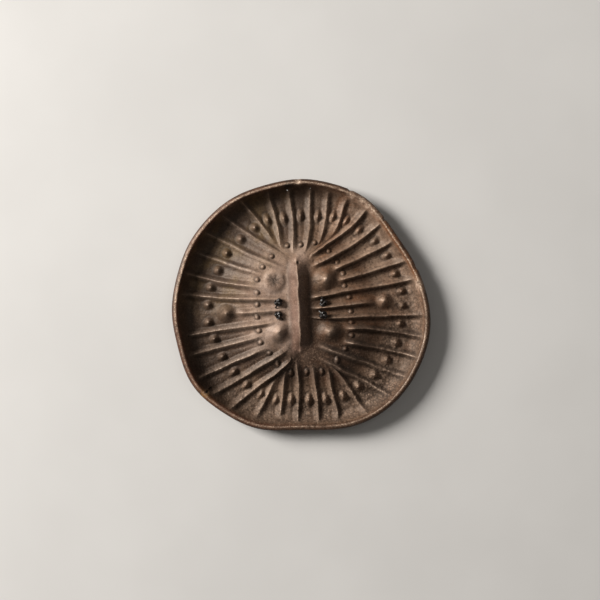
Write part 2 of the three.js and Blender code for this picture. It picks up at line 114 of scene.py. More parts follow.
# ------------------------------------------------------------------ small helpers
def smooth(a, b, v):
    t = np.clip((np.asarray(v, float) - a) / (b - a), 0, 1)
    return t * t * (3 - 2 * t)


def hashed(ix, iy, seed):
    h = (ix.astype(np.int64) * 374761393 + iy.astype(np.int64) * 668265263 + seed * 974634777) & 0xFFFFFFFF
    h = ((h ^ (h >> 13)) * 1274126177) & 0xFFFFFFFF
    return (h ^ (h >> 16)) / 4294967295.0


def noise2(x, y, size, seed=0):
    """Smooth noise from -1 to 1 whose cells measure size."""
    x, y = np.asarray(x, float) / size, np.asarray(y, float) / size
    ix, iy = np.floor(x), np.floor(y)
    u, v = x - ix, y - iy
    u, v = u * u * u * (u * (6 * u - 15) + 10), v * v * v * (v * (6 * v - 15) + 10)
    s = SEED + seed
    a, b = hashed(ix, iy, s), hashed(ix + 1, iy, s)
    c, d = hashed(ix, iy + 1, s), hashed(ix + 1, iy + 1, s)
    return 2 * ((a + (b - a) * u) * (1 - v) + (c + (d - c) * u) * v) - 1


def layered(x, y, size, seed=0, layers=3):
    total, weight, amount = 0, 1.0, 0
    for i in range(layers):
        total = total + weight * noise2(x + 17.3 * i, y - 9.1 * i, size / 2**i, seed + 31 * i)
        amount += weight
        weight *= 0.5
    return total / amount


# ------------------------------------------------------------------ the shield's own coordinates
def edge_radius(f):
    return sum(a * np.cos(k * f - math.radians(p)) for k, (a, p) in enumerate(OUTLINE))


def place(s, f):
    r, up = edge_radius(f) * s, (1 - s) * np.sin(f)
    return (
        (1 - s) * SPINE_MID[0] + up * SPINE_UP[0] + r * np.cos(f),
        (1 - s) * SPINE_MID[1] + up * SPINE_UP[1] + r * np.sin(f),
    )


def line_length(f):
    x0, y0 = place(0.0, f)
    x1, y1 = place(1.0, f)
    return np.hypot(x1 - x0, y1 - y0)


def own_bearing(k, s):
    s0, _, a, b, c, d = SECTORS[k][:6]
    u = 1 - max(s, s0)
    return math.radians(a + b * u + c * u * u + d * u**3)


def spaced(f, least, ease):
    f = list(f)
    for _ in range(400):
        moved = False
        for k in range(N):
            nxt = f[k + 1] if k + 1 < N else f[0] - 2 * math.pi
            gap = f[k] - nxt
            if gap >= least - 1e-6:
                continue
            moved = True
            a, b = ease(k), ease((k + 1) % N)
            push = least - gap
            f[k] += push * a / (a + b)
            f[(k + 1) % N] -= push * b / (a + b)
        if not moved:
            break
    return f


def crest_bearings():
    f = spaced([own_bearing(k, 0) for k in range(N)], math.radians(6), lambda k: 1)
    other = [f[1 - k] if k < 2 else f[N + 1 - k] + 2 * math.pi for k in range(N)]
    return [(a + math.pi - b) / 2 for a, b in zip(f, other)]


CREST = crest_bearings()
STEPS = 241


def crease_row(s):
    def one(k):
        t = min(1.0, s / SECTORS[k][0])
        t = t * t * (3 - 2 * t)
        return CREST[k] * (1 - t) + own_bearing(k, s) * t
    f = spaced([one(k) for k in range(N)], math.radians(3.2), lambda k: 1 if s < SECTORS[k][0] else 0.15)
    return f + [f[0] - 2 * math.pi]


CREASES = np.array([crease_row(i / (STEPS - 1)) for i in range(STEPS)])
for _ in range(24):  # takes the kinks out of lines that are pushed apart where several meet
    CREASES[1:-1] = 0.25 * CREASES[:-2] + 0.5 * CREASES[1:-1] + 0.25 * CREASES[2:]


def crease_bearing(k, s):
    i = np.clip(np.asarray(s, float) * (STEPS - 1), 0, STEPS - 1.000001)
    i0 = i.astype(int)
    w = i - i0
    return CREASES[i0, k] * (1 - w) + CREASES[i0 + 1, k] * w


# ------------------------------------------------------------------ profiles
def dome_share(d):
    u = np.clip((d - RING_IN) / (DOME_IN - RING_IN), 0, 1)
    return u - 0.4 * np.sin(2 * np.pi * u) / (2 * np.pi)


def face_height(d):
    wall = HIDE + (36.25 - HIDE) * np.clip((RING_OUT - d) / (RING_OUT - RIM_IN), 0, 1.2) ** 2.2
    dome = HIDE + DOME_RISE * dome_share(d) + CROWN_RISE * (1 - np.exp(-np.maximum(0, d - DOME_IN) / 40))
    return np.where(d < RING_OUT, wall, dome)


def back_height(d):
    return np.where(d < RING_OUT, 25 * (np.maximum(RING_OUT - d, 0) / 36) ** 2, DOME_RISE * dome_share(d))


def along_across(x, y):
    n = math.hypot(*SPINE_UP)
    ux, uy = SPINE_UP[0] / n, SPINE_UP[1] / n
    px, py = x - SPINE_MID[0], y - SPINE_MID[1]
    return px * ux + py * uy, px * uy - py * ux


def spine(x, y, bend=1.15):
    along, across = along_across(x, y)
    end = smooth(SPINE_END + 4, SPINE_HALF - 22, np.abs(along))
    wide = np.where(across < 0, 1.12 * SPINE_LEFT, SPINE_RIGHT) * (0.72 + 0.32 * end)
    side = np.abs(across) / wide
    return SPINE_H * end * (0.8 * np.clip(1 - side, 0, 1) ** bend + 0.2 * np.exp(-((side * 1.35) ** 2)))


def crease_distance(k, x, y, s):
    """Signed distance from crease k, positive on its clockwise side."""
    h = 0.004
    sa, sb = np.clip(s - h, 0, 1), np.clip(s + h, 0, 1)
    x0, y0 = place(sa, crease_bearing(k, sa))
    x1, y1 = place(sb, crease_bearing(k, sb))
    tx, ty = x1 - x0, y1 - y0
    return ((x - x0) * ty - (y - y0) * tx) / np.maximum(np.hypot(tx, ty), 1e-6)


def crease_strength(k, s, d):
    k = k % N
    starts = np.array([r[0] for r in SECTORS])[k]
    ends = np.array([r[1] for r in SECTORS])[k]
    short = ends < 0.7
    fade = np.where(short, 1 - smooth(0, 0.09, s - ends + 0.07), 1 - smooth(0, 0.09, s - ends + 0.045))
    right = (k >= 3) & (k <= 13)
    rise = np.where(right & (k > 5), 1.15 - 0.15 * smooth(0, 0.3, s - starts), 0.4 + 0.6 * smooth(0, 0.16, s - starts))
    return np.array(CREASE_H)[k] * smooth(-0.035, 0.07, s - starts) * rise * fade * smooth(9, 22, d)


def crease_profile(k, dist, s, x, y, room):
    """Share of a crease's height at a distance from it: a pinched fold with hollow flanks, like a tent."""
    doubled = np.isin(k % N, list(DOUBLED))
    right = ((k % N) >= 3) & ((k % N) <= 13)
    w = np.clip(0.43 * room, 3.0, 12.5) * np.where(right, np.where(dist > 0, 0.72, 1.1), 1.0)
    one = np.clip(1 - np.abs(dist) / w, 0, 1) ** np.where(right & (dist < 0), 1.15, 1.4)
    two = 0.55 * (np.clip(1 - np.abs(dist - 2.6) / 4.2, 0, 1) ** 1.4 + np.clip(1 - np.abs(dist + 2.6) / 4.2, 0, 1) ** 1.4)
    sharp = np.where(doubled, two, one)
    broad = np.exp(-((dist / np.clip(0.36 * room, 2.5, 9.5)) ** 2))
    return np.where(doubled, 0.5, 0.82) * sharp, np.where(doubled, 0.4, 0.18) * broad


# ------------------------------------------------------------------ the relief of the face
def boss_field(x, y, bx, by, wide, long, turn):
    dx, dy = x - bx, y - by
    c, s = math.cos(turn), math.sin(turn)
    a, b = dx * c + dy * s, -dx * s + dy * c  # along the long way, and across it
    return np.hypot(a / long, b / wide), a, b


def relief(x, y, s, d, k, k2):
    """Height of everything pressed into the face above the plain dome, and the masks that go with it."""
    # hand-worked unevenness
    z = 1.1 * layered(x, y, 95, 3, 2) * smooth(20, 60, d) + 0.85 * layered(x, y, 34, 5, 2) * smooth(10, 40, d)
    z = z + 0.38 * layered(x, y, 15, 6, 2) * smooth(14, 40, d)
    # masks for the hide's colour: rubbed places with painted highlights, and soiled hollows with painted shade
    wear_and_highlight = np.zeros_like(z)
    grime_and_shade = np.zeros_like(z)
    d1 = crease_distance(k, x, y, s)
    d2 = crease_distance(k2, x, y, s)
    room = np.abs(d1) + np.abs(d2)
    live = 1 + 0.16 * layered(x, y, 40, 21, 2)
    total = 0
    sharp_all = np.zeros_like(z)
    for kk, dist in ((k, d1), (k2, d2)):
        strength = crease_strength(kk, s, d) * live
        sharp, broad = crease_profile(kk, dist, s, x, y, room)
        sharp_all = np.maximum(sharp_all, strength * sharp)
        total = total + strength * broad
        # the hide is drawn down beside each crease, more on the clockwise side
        groove = np.where(dist > 0, 1.0, 0.5) * np.exp(-(((np.abs(dist) - np.minimum(11, 0.40 * room)) / 4.0) ** 2))
        total = total - 0.20 * strength * groove
        # the photograph's shade is partly painted here: darker on the side away from the upper left, paler towards it
        away = np.where(dist > 0, 1, -1) * np.sin(np.arctan2(y, x) + 0.4)
        dirt_and_shade_side, towards = 0.42 + 0.43 * smooth(-0.35, 0.55, away), 0.5 + 0.5 * smooth(0.1, -0.7, away)
        # the low creases on the right are painted dark on both sides: painted shade
        low_right = ((kk % N) >= 11) & ((kk % N) <= 14)
        dirt_and_shade_side = np.maximum(dirt_and_shade_side, np.where(low_right, 0.8, 0.0))
        grime_and_shade = np.maximum(grime_and_shade, dirt_and_shade_side * np.clip(strength / 7, 0, 1.2) * np.exp(-(((np.abs(dist) - 5.5) / np.where(low_right, 5.5, 4.0)) ** 2)))
        wear_and_highlight = np.maximum(wear_and_highlight, 0.30 * towards * np.clip(strength / 7, 0, 1) * np.exp(-(((np.abs(dist) - 2.5) / 4.0) ** 2)))
        rubbed = 0.62 + 0.4 * layered(x, y, 24, 23, 2)
        wear_and_highlight = np.maximum(wear_and_highlight, 1.25 * rubbed * np.clip(strength / 7, 0, 1) * np.exp(-((dist / 1.5) ** 2)))
    z = z + sharp_all + total

    # the middle ridge, with its hipped ends, a knob at the foot and a pit at the head
    sp = spine(x, y)
    z = z + sp
    along, across = along_across(x, y)
    near = np.clip(1 - np.abs(across) / 2.2, 0, 1) * smooth(SPINE_END, SPINE_HALF - 10, np.abs(along))
    wear_and_highlight = np.maximum(wear_and_highlight, 0.75 * near)
    foot = np.exp(-(((np.abs(across) - np.where(across < 0, SPINE_LEFT, SPINE_RIGHT)) / 5) ** 2)) * smooth(118, 90, np.abs(along))
    grime_and_shade = np.maximum(grime_and_shade, 0.5 * foot)
    for bx, by, r, h in ((-0.9, -102.4, 8, 3.4), (-11, 100, 8, 2.5)):
        q = np.hypot(x - bx, y - by) / r
        z = z + h * np.clip(1 - q, 0, 1) ** 1.2
        wear_and_highlight = np.maximum(wear_and_highlight, 0.8 * np.clip(1 - q * 1.6, 0, 1))
    q = np.hypot(x + 6.3, y - 91.9) / 4.2
    z = z - 3.2 * np.clip(1 - q * q, 0, 1)
    grime_and_shade = np.maximum(grime_and_shade, np.clip(1.3 - q, 0, 1))

    # the outer ring of pointed bosses and the inner ring of small round ones
    for i, row in enumerate(SECTORS):
        wide, long, (bs, bf), small = row[6:]
        f = math.radians(bf)
        bx, by = place(bs, f)
        jitter = 1 + 0.12 * math.sin(7.1 * i + 1)
        q, a, b = boss_field(x, y, bx, by, wide, 1.12 * long, math.atan2(by, bx))
        body = np.clip(1 - q, 0, 1)
        core = np.clip(1 - q / 0.86, 0, 1)
        tall = 8.2 if by > 0.8 * abs(bx) else (12.2 if bx < -120 else 10.5)
        z = z + jitter * (tall * np.minimum(core**1.2, 0.95) + 2.4 * body**1.4)
        z = z - 0.5 * np.exp(-(((q - 1.0) / 0.2) ** 2))
        toward = np.cos(np.arctan2(y - by, x - bx) + 0.45)  # 1 away from the upper left; painted shade again
        grime_and_shade = np.maximum(grime_and_shade, (0.22 + 0.2 * smooth(-0.25, 0.65, toward)) * np.exp(-(((q - 0.62) / 0.42) ** 2)))
        grime_and_shade = np.maximum(grime_and_shade, 0.55 * np.exp(-(((q - 0.98) / 0.18) ** 2)))
        wear_and_highlight = np.maximum(wear_and_highlight, np.clip(1.05 - q * 2.9, 0, 1) * 0.8)
        # the bosses on the left get a painted highlight on the side facing the upper left; those on the right are
        # painted darker on the body with a pale ring round the foot, painted shade and highlight
        far = float(smooth(60, 150, bx))
        wear_and_highlight = np.maximum(wear_and_highlight, (1 - 0.8 * far) * (0.25 + 0.2 * smooth(-0.1, -0.95, toward)) * np.clip(1.2 - 1.4 * q, 0, 1))
        wear_and_highlight = np.maximum(wear_and_highlight, 0.3 * far * np.exp(-(((q - 1.2) / 0.18) ** 2)))
        grime_and_shade = np.maximum(grime_and_shade, 0.35 * far * np.exp(-(((q - 0.52) / 0.3) ** 2)))
        if small:
            sx, sy = place(small[0], math.radians(small[1]))
            q = np.hypot(x - sx, (y - sy) / (1.5 if sy < -110 else 1.0)) / 5.6
            z = z + 4.7 * np.clip(1 - q * q, 0, 1) ** 0.8
            z = z - 0.9 * np.exp(-(((q - 1.25) / 0.22) ** 2))
            grime_and_shade = np.maximum(grime_and_shade, 0.95 * np.exp(-(((q - 1.1) / 0.32) ** 2)))
            wear_and_highlight = np.maximum(wear_and_highlight, np.clip(1.0 - q * 2.0, 0, 1) * 0.6)

    # the larger bosses
    for i, (bx, by, r, h) in enumerate(BOSSES):
        dx, dy = x - bx, y - by
        q, turn = np.hypot(dx, dy) / r, np.arctan2(dy, dx)
        if i == 0:  # this one's top has sunk in
            body = smooth(1.0, 0.5, q)
            z = z + h * 0.36 * body - 2.2 * np.exp(-((q / 0.34) ** 2))
            z = z + 0.6 * np.cos(9 * turn + 2.2 * np.sin(3 * turn)) * np.exp(-(((q - 0.40) / 0.2) ** 2))
            z = z + 1.1 * np.exp(-(((q - 0.76) / 0.13) ** 2)) * smooth(-1, 1, np.cos(turn - 0.9))
            ray = 0.92 + 0.35 * np.cos(11 * turn + 1.5 * np.sin(4 * turn))
            grime_and_shade = np.maximum(grime_and_shade, np.clip(ray, 0, 1.1) * np.exp(-((q / 0.56) ** 2)))
            # a painted highlight on the upper right of the sunken rim, and painted shade along its lower right edge
            wear_and_highlight = np.maximum(wear_and_highlight, 0.55 * np.exp(-(((q - 0.8) / 0.12) ** 2)) * smooth(-0.6, 0.9, np.cos(turn - 0.9)))
            grime_and_shade = np.maximum(grime_and_shade, 0.6 * np.exp(-(((q - 0.95) / 0.2) ** 2)) * smooth(-0.6, 0.8, np.cos(turn + 0.7)))
        else:
            q = q / 1.12 * (1 + 0.06 * np.cos(2 * turn + i))
            body = np.clip(1 - q, 0, 1)
            z = z + h * np.minimum(body**1.5, 0.90)
            z = z + 0.3 * np.cos(7 * turn + 1.7 * i + 1.5 * np.sin(2 * turn)) * np.exp(-(((q - 0.42) / 0.2) ** 2))
            # painted shade on the side away from the upper left
            grime_and_shade = np.maximum(grime_and_shade, np.exp(-(((q - 0.56) / 0.40) ** 2)) * (0.25 + 0.3 * smooth(-0.4, 0.6, np.cos(turn + 0.6))))
            wear_and_highlight = np.maximum(wear_and_highlight, np.clip(0.95 - q * 2.2, 0, 1))
            # the big left boss gets a painted highlight on its side facing the upper left
            if i == 4:
                wear_and_highlight = np.maximum(wear_and_highlight, (0.2 + 0.2 * smooth(-0.2, -0.95, np.cos(turn + 0.45))) * np.clip(1.2 - 1.3 * q, 0, 1))

    # the hide's own grain, coarse near the rim and worked smooth towards the middle
    coarse = grain_amount(x, y, d)
    z = z + coarse * (0.55 * noise2(x, y, 6.4, 41) + 0.5 * noise2(x, y, 9.3, 42))
    return z, wear_and_highlight, grime_and_shade, coarse


def grain_amount(x, y, d):
    """Where the coarse grain of the hide still shows."""
    low = smooth(60, -160, y)
    right = smooth(-60, 200, x)
    band = smooth(150, 60, d) * smooth(8, 22, d)
    return band * np.clip(0.26 + 0.55 * low + 0.60 * right * smooth(120, -60, y), 0, 1.15) * (0.8 + 0.35 * layered(x, y, 48, 51, 2))


# ------------------------------------------------------------------ the hide's mesh
ACROSS = 20
COLS = N * ACROSS
_u = np.arange(ACROSS) / ACROSS
SPREAD = _u - 0.15 * np.sin(2 * np.pi * _u) / (2 * np.pi)
COL_K = np.repeat(np.arange(N), ACROSS)
COL_T = np.tile(SPREAD, N)
INNER_ROWS = 84


def bearings(s):
    a, b = crease_bearing(COL_K, s), crease_bearing(COL_K + 1, s)
    return a + (b - a) * COL_T


def drift(x, y):
    """The small sideways waver that handwork gives to every line on the face."""
    along, across = along_across(x, y)
    near = smooth(40, 5, np.abs(across)) * smooth(118, 70, np.abs(along))
    calm = smooth(292, 250, np.hypot(x, y))
    dx = calm * (0.9 * noise2(x, y, 30, 11) + 0.35 * noise2(x, y, 13, 12)) + 1.0 * near * noise2(along, 0 * along, 15, 13)
    dy = calm * (0.9 * noise2(x, y, 30, 14) + 0.35 * noise2(x, y, 13, 15))
    return dx, dy


def settled(row):
    """row(f) gives s for each column from its bearing, and the bearing from s in turn."""
    f = bearings(np.full(COLS, 0.5))
    for _ in range(6):
        s = row(f)
        f = bearings(s)
    return s, f


def hide_mesh():
    s0 = np.zeros(COLS)
    rows = [(s0, bearings(s0))]
    for i in range(1, INNER_ROWS + 1):
        g = (i / INNER_ROWS) ** 0.96
        rows.append(settled(lambda f: g * (1 - RING_IN / line_length(f))))
    d_rows = np.concatenate([np.linspace(RING_IN, 20, 17)[1:], [18, 16.2, 14.6, RIM_IN]])
    for dd in d_rows:
        rows.append(settled(lambda f: 1 - dd / line_length(f)))
    S, F = np.array([r[0] for r in rows]), np.array([r[1] for r in rows])
    X, Y = place(S, F)
    D = (1 - S) * line_length(F)
    K = np.broadcast_to(COL_K, S.shape)
    rise, wear_and_highlight, grime_and_shade, coarse = relief(X, Y, S, D, K, K + 1)
    Z = face_height(D) + rise * 1.0
    Z = np.where(D > RIM_IN + 0.05, Z, face_height(D))

    # the rolled edge: its crest, then round the outside to the underside
    turn = bearings(np.ones(COLS))
    length = line_length(turn)
    ex, ey = place(1.0, turn)
    lumps = layered(ex, ey, 45, 61, 3)
    small = layered(ex, ey, 12, 62, 2)
    bead = []
    for a in (52, 72, 90, 104, 118, 132, 147, 162, 178, 196, 216, 238):
        c, sn = math.cos(math.radians(a)), math.sin(math.radians(a))
        half = 4.5 if a < 90 else 9.5
        dd = RIM_TOP_IN + half * c + 0.35 * small * (1 if a < 150 else 0.3)
        zz = RIM_MID + 7.5 * sn + (0.55 * lumps + 0.3 * small) * max(0.0, sn)
        px, py = place(1 - dd / length, turn)
        bead.append((px, py, zz, dd))
    dx, dy = drift(X, Y)
    X, Y = X + dx, Y + dy
    X = np.vstack([X] + [b[0][None] for b in bead])
    Y = np.vstack([Y] + [b[1][None] for b in bead])
    Z = np.vstack([Z] + [b[2][None] for b in bead])
    D = np.vstack([D] + [b[3][None] for b in bead])
    n_bead = len(bead)
    ang = np.array([52, 72, 90, 104, 118, 132, 147, 162, 178, 196, 216, 238.0])
    # where the photograph's highlight lies on the crest: its inner side at the right, and stronger at the top
    away = smooth(-0.3, 0.6, np.cos(turn + 0.35))
    lit = 0.42 + 0.6 * smooth(-0.55, 0.25, np.sin(turn)) + 0.25 * smooth(0.2, 0.9, np.cos(turn + 0.5))
    # painted highlight along the crest of the rolled edge
    bead_painted_highlight = lit[None] * np.exp(-(((ang[:, None] - 101 + 19 * away[None]) / 10.5) ** 2)) * (1.05 + 0.35 * away[None] + 0.7 * lumps[None] + 0.6 * small[None])
    wear_and_highlight = np.vstack([wear_and_highlight, bead_painted_highlight])
    # the outer side and underside of the rolled edge are painted darker: painted shade
    grime_and_shade = np.vstack([grime_and_shade, smooth(112, 150, ang)[:, None] * (0.6 + 0.3 * lumps[None])])
    coarse = np.vstack([coarse, np.full((n_bead, COLS), 0.12)])

    # bare patches and stains on the rolled edge, and a row of painted highlights along its crest at the upper right
    rolled = smooth(26, 14, D)
    for nx, ny, r, amount in ((-7, 274, 6, 1.6), (113, 240, 4, 1.4), (257, 43, 15, 1.0), (-212, -195, 5, 0.9), (-150, 205, 22, 0.45),
                              (110, 243, 9, 0.8), (134, 232, 10, 1.1), (148, 221, 9, 1.0), (160, 209, 9, 0.9), (172, 198, 8, 0.7)):
        wear_and_highlight = np.maximum(wear_and_highlight, amount * np.exp(-((np.hypot(X - nx, Y - ny) / r) ** 2)) * rolled)
    for nx, ny, r, amount in ((-30, 268, 11, 1.3), (230, 130, 16, 0.7), (-262, 60, 30, 0.5)):
        grime_and_shade = np.maximum(grime_and_shade, amount * np.exp(-((np.hypot(X - nx, Y - ny) / r) ** 2)) * rolled)

    # small nicks in the rolled edge
    for nx, ny, r, depth in ((110.5, 259, 6, 2.0), (187.7, 191.9, 6, 2.0), (257, 84, 9, 1.8), (-6.9, 275.8, 7, 1.4), (113, 240, 4, 1.0)):
        q = np.hypot(X - nx, Y - ny) / r
        dip = np.clip(1 - q * q, 0, 1)
        Z = Z - depth * dip
        bx, by = X * dip, Y * dip
        X = X - bx * depth / 290
        Y = Y - by * depth / 290

    # the back: plainer, with the dome's hollow, the ridge's hollow and shallow dents behind the bosses
    half = COLS // 2
    pick = np.arange(0, COLS, 2)
    back = []
    for dd in (8.5, 11.5, 15, 19, 24, 30, 37, RING_OUT, 51, RING_IN):
        s, f = settled(lambda f: 1 - dd / line_length(f))
        back.append((s[pick], f[pick]))
    for i in range(1, 42):
        g = 1 - i / 42
        s, f = settled(lambda f: g * (1 - RING_IN / line_length(f)))
        back.append((s[pick], f[pick]))
    BS, BF = np.array([b[0] for b in back]), np.array([b[1] for b in back])
    BX, BY = place(BS, BF)
    BD = (1 - BS) * line_length(BF)
    BK = np.broadcast_to(COL_K[pick], BS.shape)
    BZ = back_height(BD) + back_relief(BX, BY, BS, BD, BK)

    CX, CY = place(S[0], F[0])
    crest_z = back_height(D[0]) + back_relief(CX, CY, S[0], D[0], COL_K)

    # vertices: crest row shared across the crest, on the face and on the back
    verts, index = [], np.full(X.shape, -1, int)
    mirror = (ACROSS - np.arange(COLS)) % COLS
    count = 0
    low = np.full(COLS, -1, int)
    order = []  # (wear_and_highlight, grime_and_shade, coarse, inset) in step with verts
    for j in range(COLS):
        m = mirror[j]
        if index[0, m] >= 0:
            index[0, j] = index[0, m]
            continue
        index[0, j] = count
        count += 1
        verts.append((X[0, j], Y[0, j], Z[0, j]))
        order.append((wear_and_highlight[0, j], grime_and_shade[0, j], coarse[0, j], D[0, j]))
    rest = np.arange(X.shape[0] - 1)[:, None] * COLS + np.arange(COLS)[None] + count
    index[1:] = rest
    body = np.stack([X[1:], Y[1:], Z[1:]], -1).reshape(-1, 3)
    masks = np.stack([wear_and_highlight[1:], grime_and_shade[1:], coarse[1:], D[1:]], -1).reshape(-1, 4)
    count += len(body)
    b_index = np.arange(BX.size).reshape(BX.shape) + count
    b_body = np.stack([BX, BY, BZ], -1).reshape(-1, 3)
    b_masks = np.stack([0 * BX, 0.25 + 0 * BX, 0.15 + 0 * BX, BD], -1).reshape(-1, 4)
    count += len(b_body)
    low_verts, low_masks = [], []
    for j in range(COLS):
        m = mirror[j]
        if low[m] >= 0:
            low[j] = low[m]
            continue
        low[j] = count
        count += 1
        low_verts.append((CX[j], CY[j], crest_z[j]))
        low_masks.append((0, 0.3, 0.1, D[0, j]))
    P = np.vstack([np.array(verts), body, b_body, np.array(low_verts)])
    A = np.vstack([np.array(order), masks, b_masks, np.array(low_masks)])

    faces = []
    nxt = (np.arange(COLS) + 1) % COLS
    for i in range(index.shape[0] - 1):
        a, b = index[i], index[i + 1]
        for j, n in zip(range(COLS), nxt):
            if a[j] == a[n]:
                faces.append((a[j], b[j], b[n]))
            else:
                faces.append((a[j], b[j], b[n], a[n]))
    outer = index[-1]
    for i in range(half):
        n = (i + 1) % half
        a, b, c = outer[2 * i], outer[2 * i + 1], outer[(2 * i + 2) % COLS]
        faces += [(a, b_index[0, i], b), (b, b_index[0, i], b_index[0, n]), (b, b_index[0, n], c)]
    for r in range(b_index.shape[0] - 1):
        a, b = b_index[r], b_index[r + 1]
        for i in range(half):
            n = (i + 1) % half
            faces.append((a[i], b[i], b[n], a[n]))
    a = b_index[-1]
    for i in range(half):
        n = (i + 1) % half
        p, q = low[2 * i], low[(2 * i + 2) % COLS]
        if p == q:
            faces.append((a[i], p, a[n]))
        else:
            faces.append((a[i], p, q, a[n]))
    return P, A, faces


def back_relief(x, y, s, d, k):
    d1, d2 = crease_distance(k, x, y, s), crease_distance(k + 1, x, y, s)
    room = np.abs(d1) + np.abs(d2)
    z = 0.8 * spine(x, y) * smooth(0, 6, d)
    for kk, dist in ((k, d1), (k + 1, d2)):
        open_part = np.where(kk % N == 4, smooth(0.40, 0.54, s), 1.0)  # its near end lies too close to its neighbours
        z = z + 0.42 * open_part * crease_strength(kk, s, d) * np.exp(-((dist / np.clip(0.35 * room, 2.5, 5)) ** 2)) * smooth(58, 90, d)
    for bx, by, r, h in BOSSES:
        q = np.hypot(x - bx, y - by) / (0.8 * r)
        z = z + 0.4 * h * np.clip(1 - q, 0, 1) ** 1.3
    for row in SECTORS:
        wide, long, (bs, bf) = row[6], row[7], row[8]
        bx, by = place(bs, math.radians(bf))
        q, _, _ = boss_field(x, y, bx, by, 0.7 * wide, 0.7 * long, math.atan2(by, bx))
        z = z + 3.6 * np.clip(1 - q, 0, 1) ** 1.2
    z = z + 0.35 * layered(x, y, 30, 71, 2) * smooth(62, 85, d)
    return z


def new_object(name, points, faces, smooth_shade=True):
    me = bpy.data.meshes.new(name)
    me.from_pydata([tuple(p) for p in np.asarray(points, float) * MM], [], [tuple(int(v) for v in f) for f in faces])
    me.update()
    ob = bpy.data.objects.new(name, me)
    bpy.context.scene.collection.objects.link(ob)
    if smooth_shade:
        me.polygons.foreach_set("use_smooth", [True] * len(me.polygons))
    return ob


def apply_modifiers(ob):
    dg = bpy.context.evaluated_depsgraph_get()
    me = bpy.data.meshes.new_from_object(ob.evaluated_get(dg))
    old = ob.data
    ob.modifiers.clear()
    ob.data = me
    bpy.data.meshes.remove(old)
    return ob


def posts(name, items, sides=14):
    """Posts, as one mesh, to cut holes with: (x, y, radius, low, high) and how far they lean, if they do."""
    pts, faces = [], []
    for x, y, r, z0, z1, *slant in items:
        o = len(pts)
        for z in (z0, z1):
            dx, dy = ((z - 36) * slant[0], (z - 36) * slant[1]) if slant else (0, 0)
            pts += [(x + dx + r * math.cos(2 * math.pi * i / sides), y + dy + r * math.sin(2 * math.pi * i / sides), z) for i in range(sides)]
        faces += [(o + i, o + (i + 1) % sides, o + sides + (i + 1) % sides, o + sides + i) for i in range(sides)]
        faces += [tuple(o + i for i in reversed(range(sides))), tuple(o + sides + i for i in range(sides))]
    return new_object(name, pts, faces, False)


def cut(ob, cutter):
    m = ob.modifiers.new("holes", "BOOLEAN")
    m.operation = "DIFFERENCE"
    m.object = cutter
    m.solver = "MANIFOLD"
    bpy.context.view_layer.update()
    apply_modifiers(ob)
    mesh = cutter.data
    bpy.data.objects.remove(cutter)
    bpy.data.meshes.remove(mesh)


def store(ob, points, masks, names):
    """Writes the masks of the nearest made point on each vertex."""
    tree = kdtree.KDTree(len(points))
    for i, p in enumerate(points * MM):
        tree.insert(p, i)
    tree.balance()
    near = np.array([tree.find(v.co)[1] for v in ob.data.vertices])
    for c, name in enumerate(names):
        at = ob.data.attributes.new(name, "FLOAT", "POINT")
        at.data.foreach_set("value", np.clip(masks[near, c], -10, 1000).astype(np.float32))


points, masks, faces = hide_mesh()
hide = new_object("embossed_hide", points, faces)
holes = [(x, y, 2.5, 20, 95) for x in KNOTS_X for y in KNOTS_Y] + [
    (x, y, r, -10, 70, 0.55 * x / math.hypot(x, y), 0.55 * y / math.hypot(x, y)) if x < -100 else (x, y, 0.8 * r, -10, 70) for x, y, r in PIERCED]
cut(hide, posts("cutter", holes))
store(hide, points, masks, ("wear_and_highlight", "grime_and_shade", "coarse", "inset"))
hide.data.polygons.foreach_set("use_smooth", [True] * len(hide.data.polygons))
print("hide triangles", sum(len(p.vertices) - 2 for p in hide.data.polygons))


# ------------------------------------------------------------------ the face under a knot
def face_at(x, y):
    """Height of the finished face at a place, by a ray from above."""
    hit, loc, _, _ = hide.ray_cast(Vector((x * MM, y * MM, 0.2)), Vector((0, 0, -1)))
    return loc.z / MM if hit else 0.0


# ------------------------------------------------------------------ the thongs
PANEL_BACK = DOME_RISE
GRIP_MID = ((KNOTS_X[0] + KNOTS_X[1]) / 2, (KNOTS_Y[0] + KNOTS_Y[1]) / 2)
RUN_Z = PANEL_BACK - 0.6 - 5 - 2 - 0.6


def strap(curve, out, wide, thick, sides=12, closed=True):
    """Points and faces of a flat strap along a curve; out gives the direction of its thin way."""
    curve, out = np.asarray(curve, float), np.asarray(out, float)
    n = len(curve)
    tan = np.roll(curve, -1, 0) - np.roll(curve, 1, 0)
    if not closed:
        tan[0], tan[-1] = curve[1] - curve[0], curve[-1] - curve[-2]
    tan /= np.linalg.norm(tan, axis=1)[:, None]
    out = out - (out * tan).sum(1)[:, None] * tan
    out /= np.linalg.norm(out, axis=1)[:, None] + 1e-9
    side = np.cross(tan, out)
    a = np.arange(sides) / sides * 2 * np.pi
    ca = np.sign(np.cos(a)) * np.abs(np.cos(a)) ** 0.7
    sa = np.sign(np.sin(a)) * np.abs(np.sin(a)) ** 0.8
    wide, thick = np.broadcast_to(wide, n), np.broadcast_to(thick, n)
    pts = (curve[:, None] + ca[None, :, None] * side[:, None] * wide[:, None, None]
           + sa[None, :, None] * out[:, None] * thick[:, None, None]).reshape(-1, 3)
    faces = []
    for i in range(n if closed else n - 1):
        j = (i + 1) % n
        for b in range(sides):
            c = (b + 1) % sides
            faces.append((i * sides + b, i * sides + c, j * sides + c, j * sides + b))
    if not closed:
        faces.append(tuple(range(sides))[::-1])
        faces.append(tuple((n - 1) * sides + b for b in range(sides)))
    return pts, faces


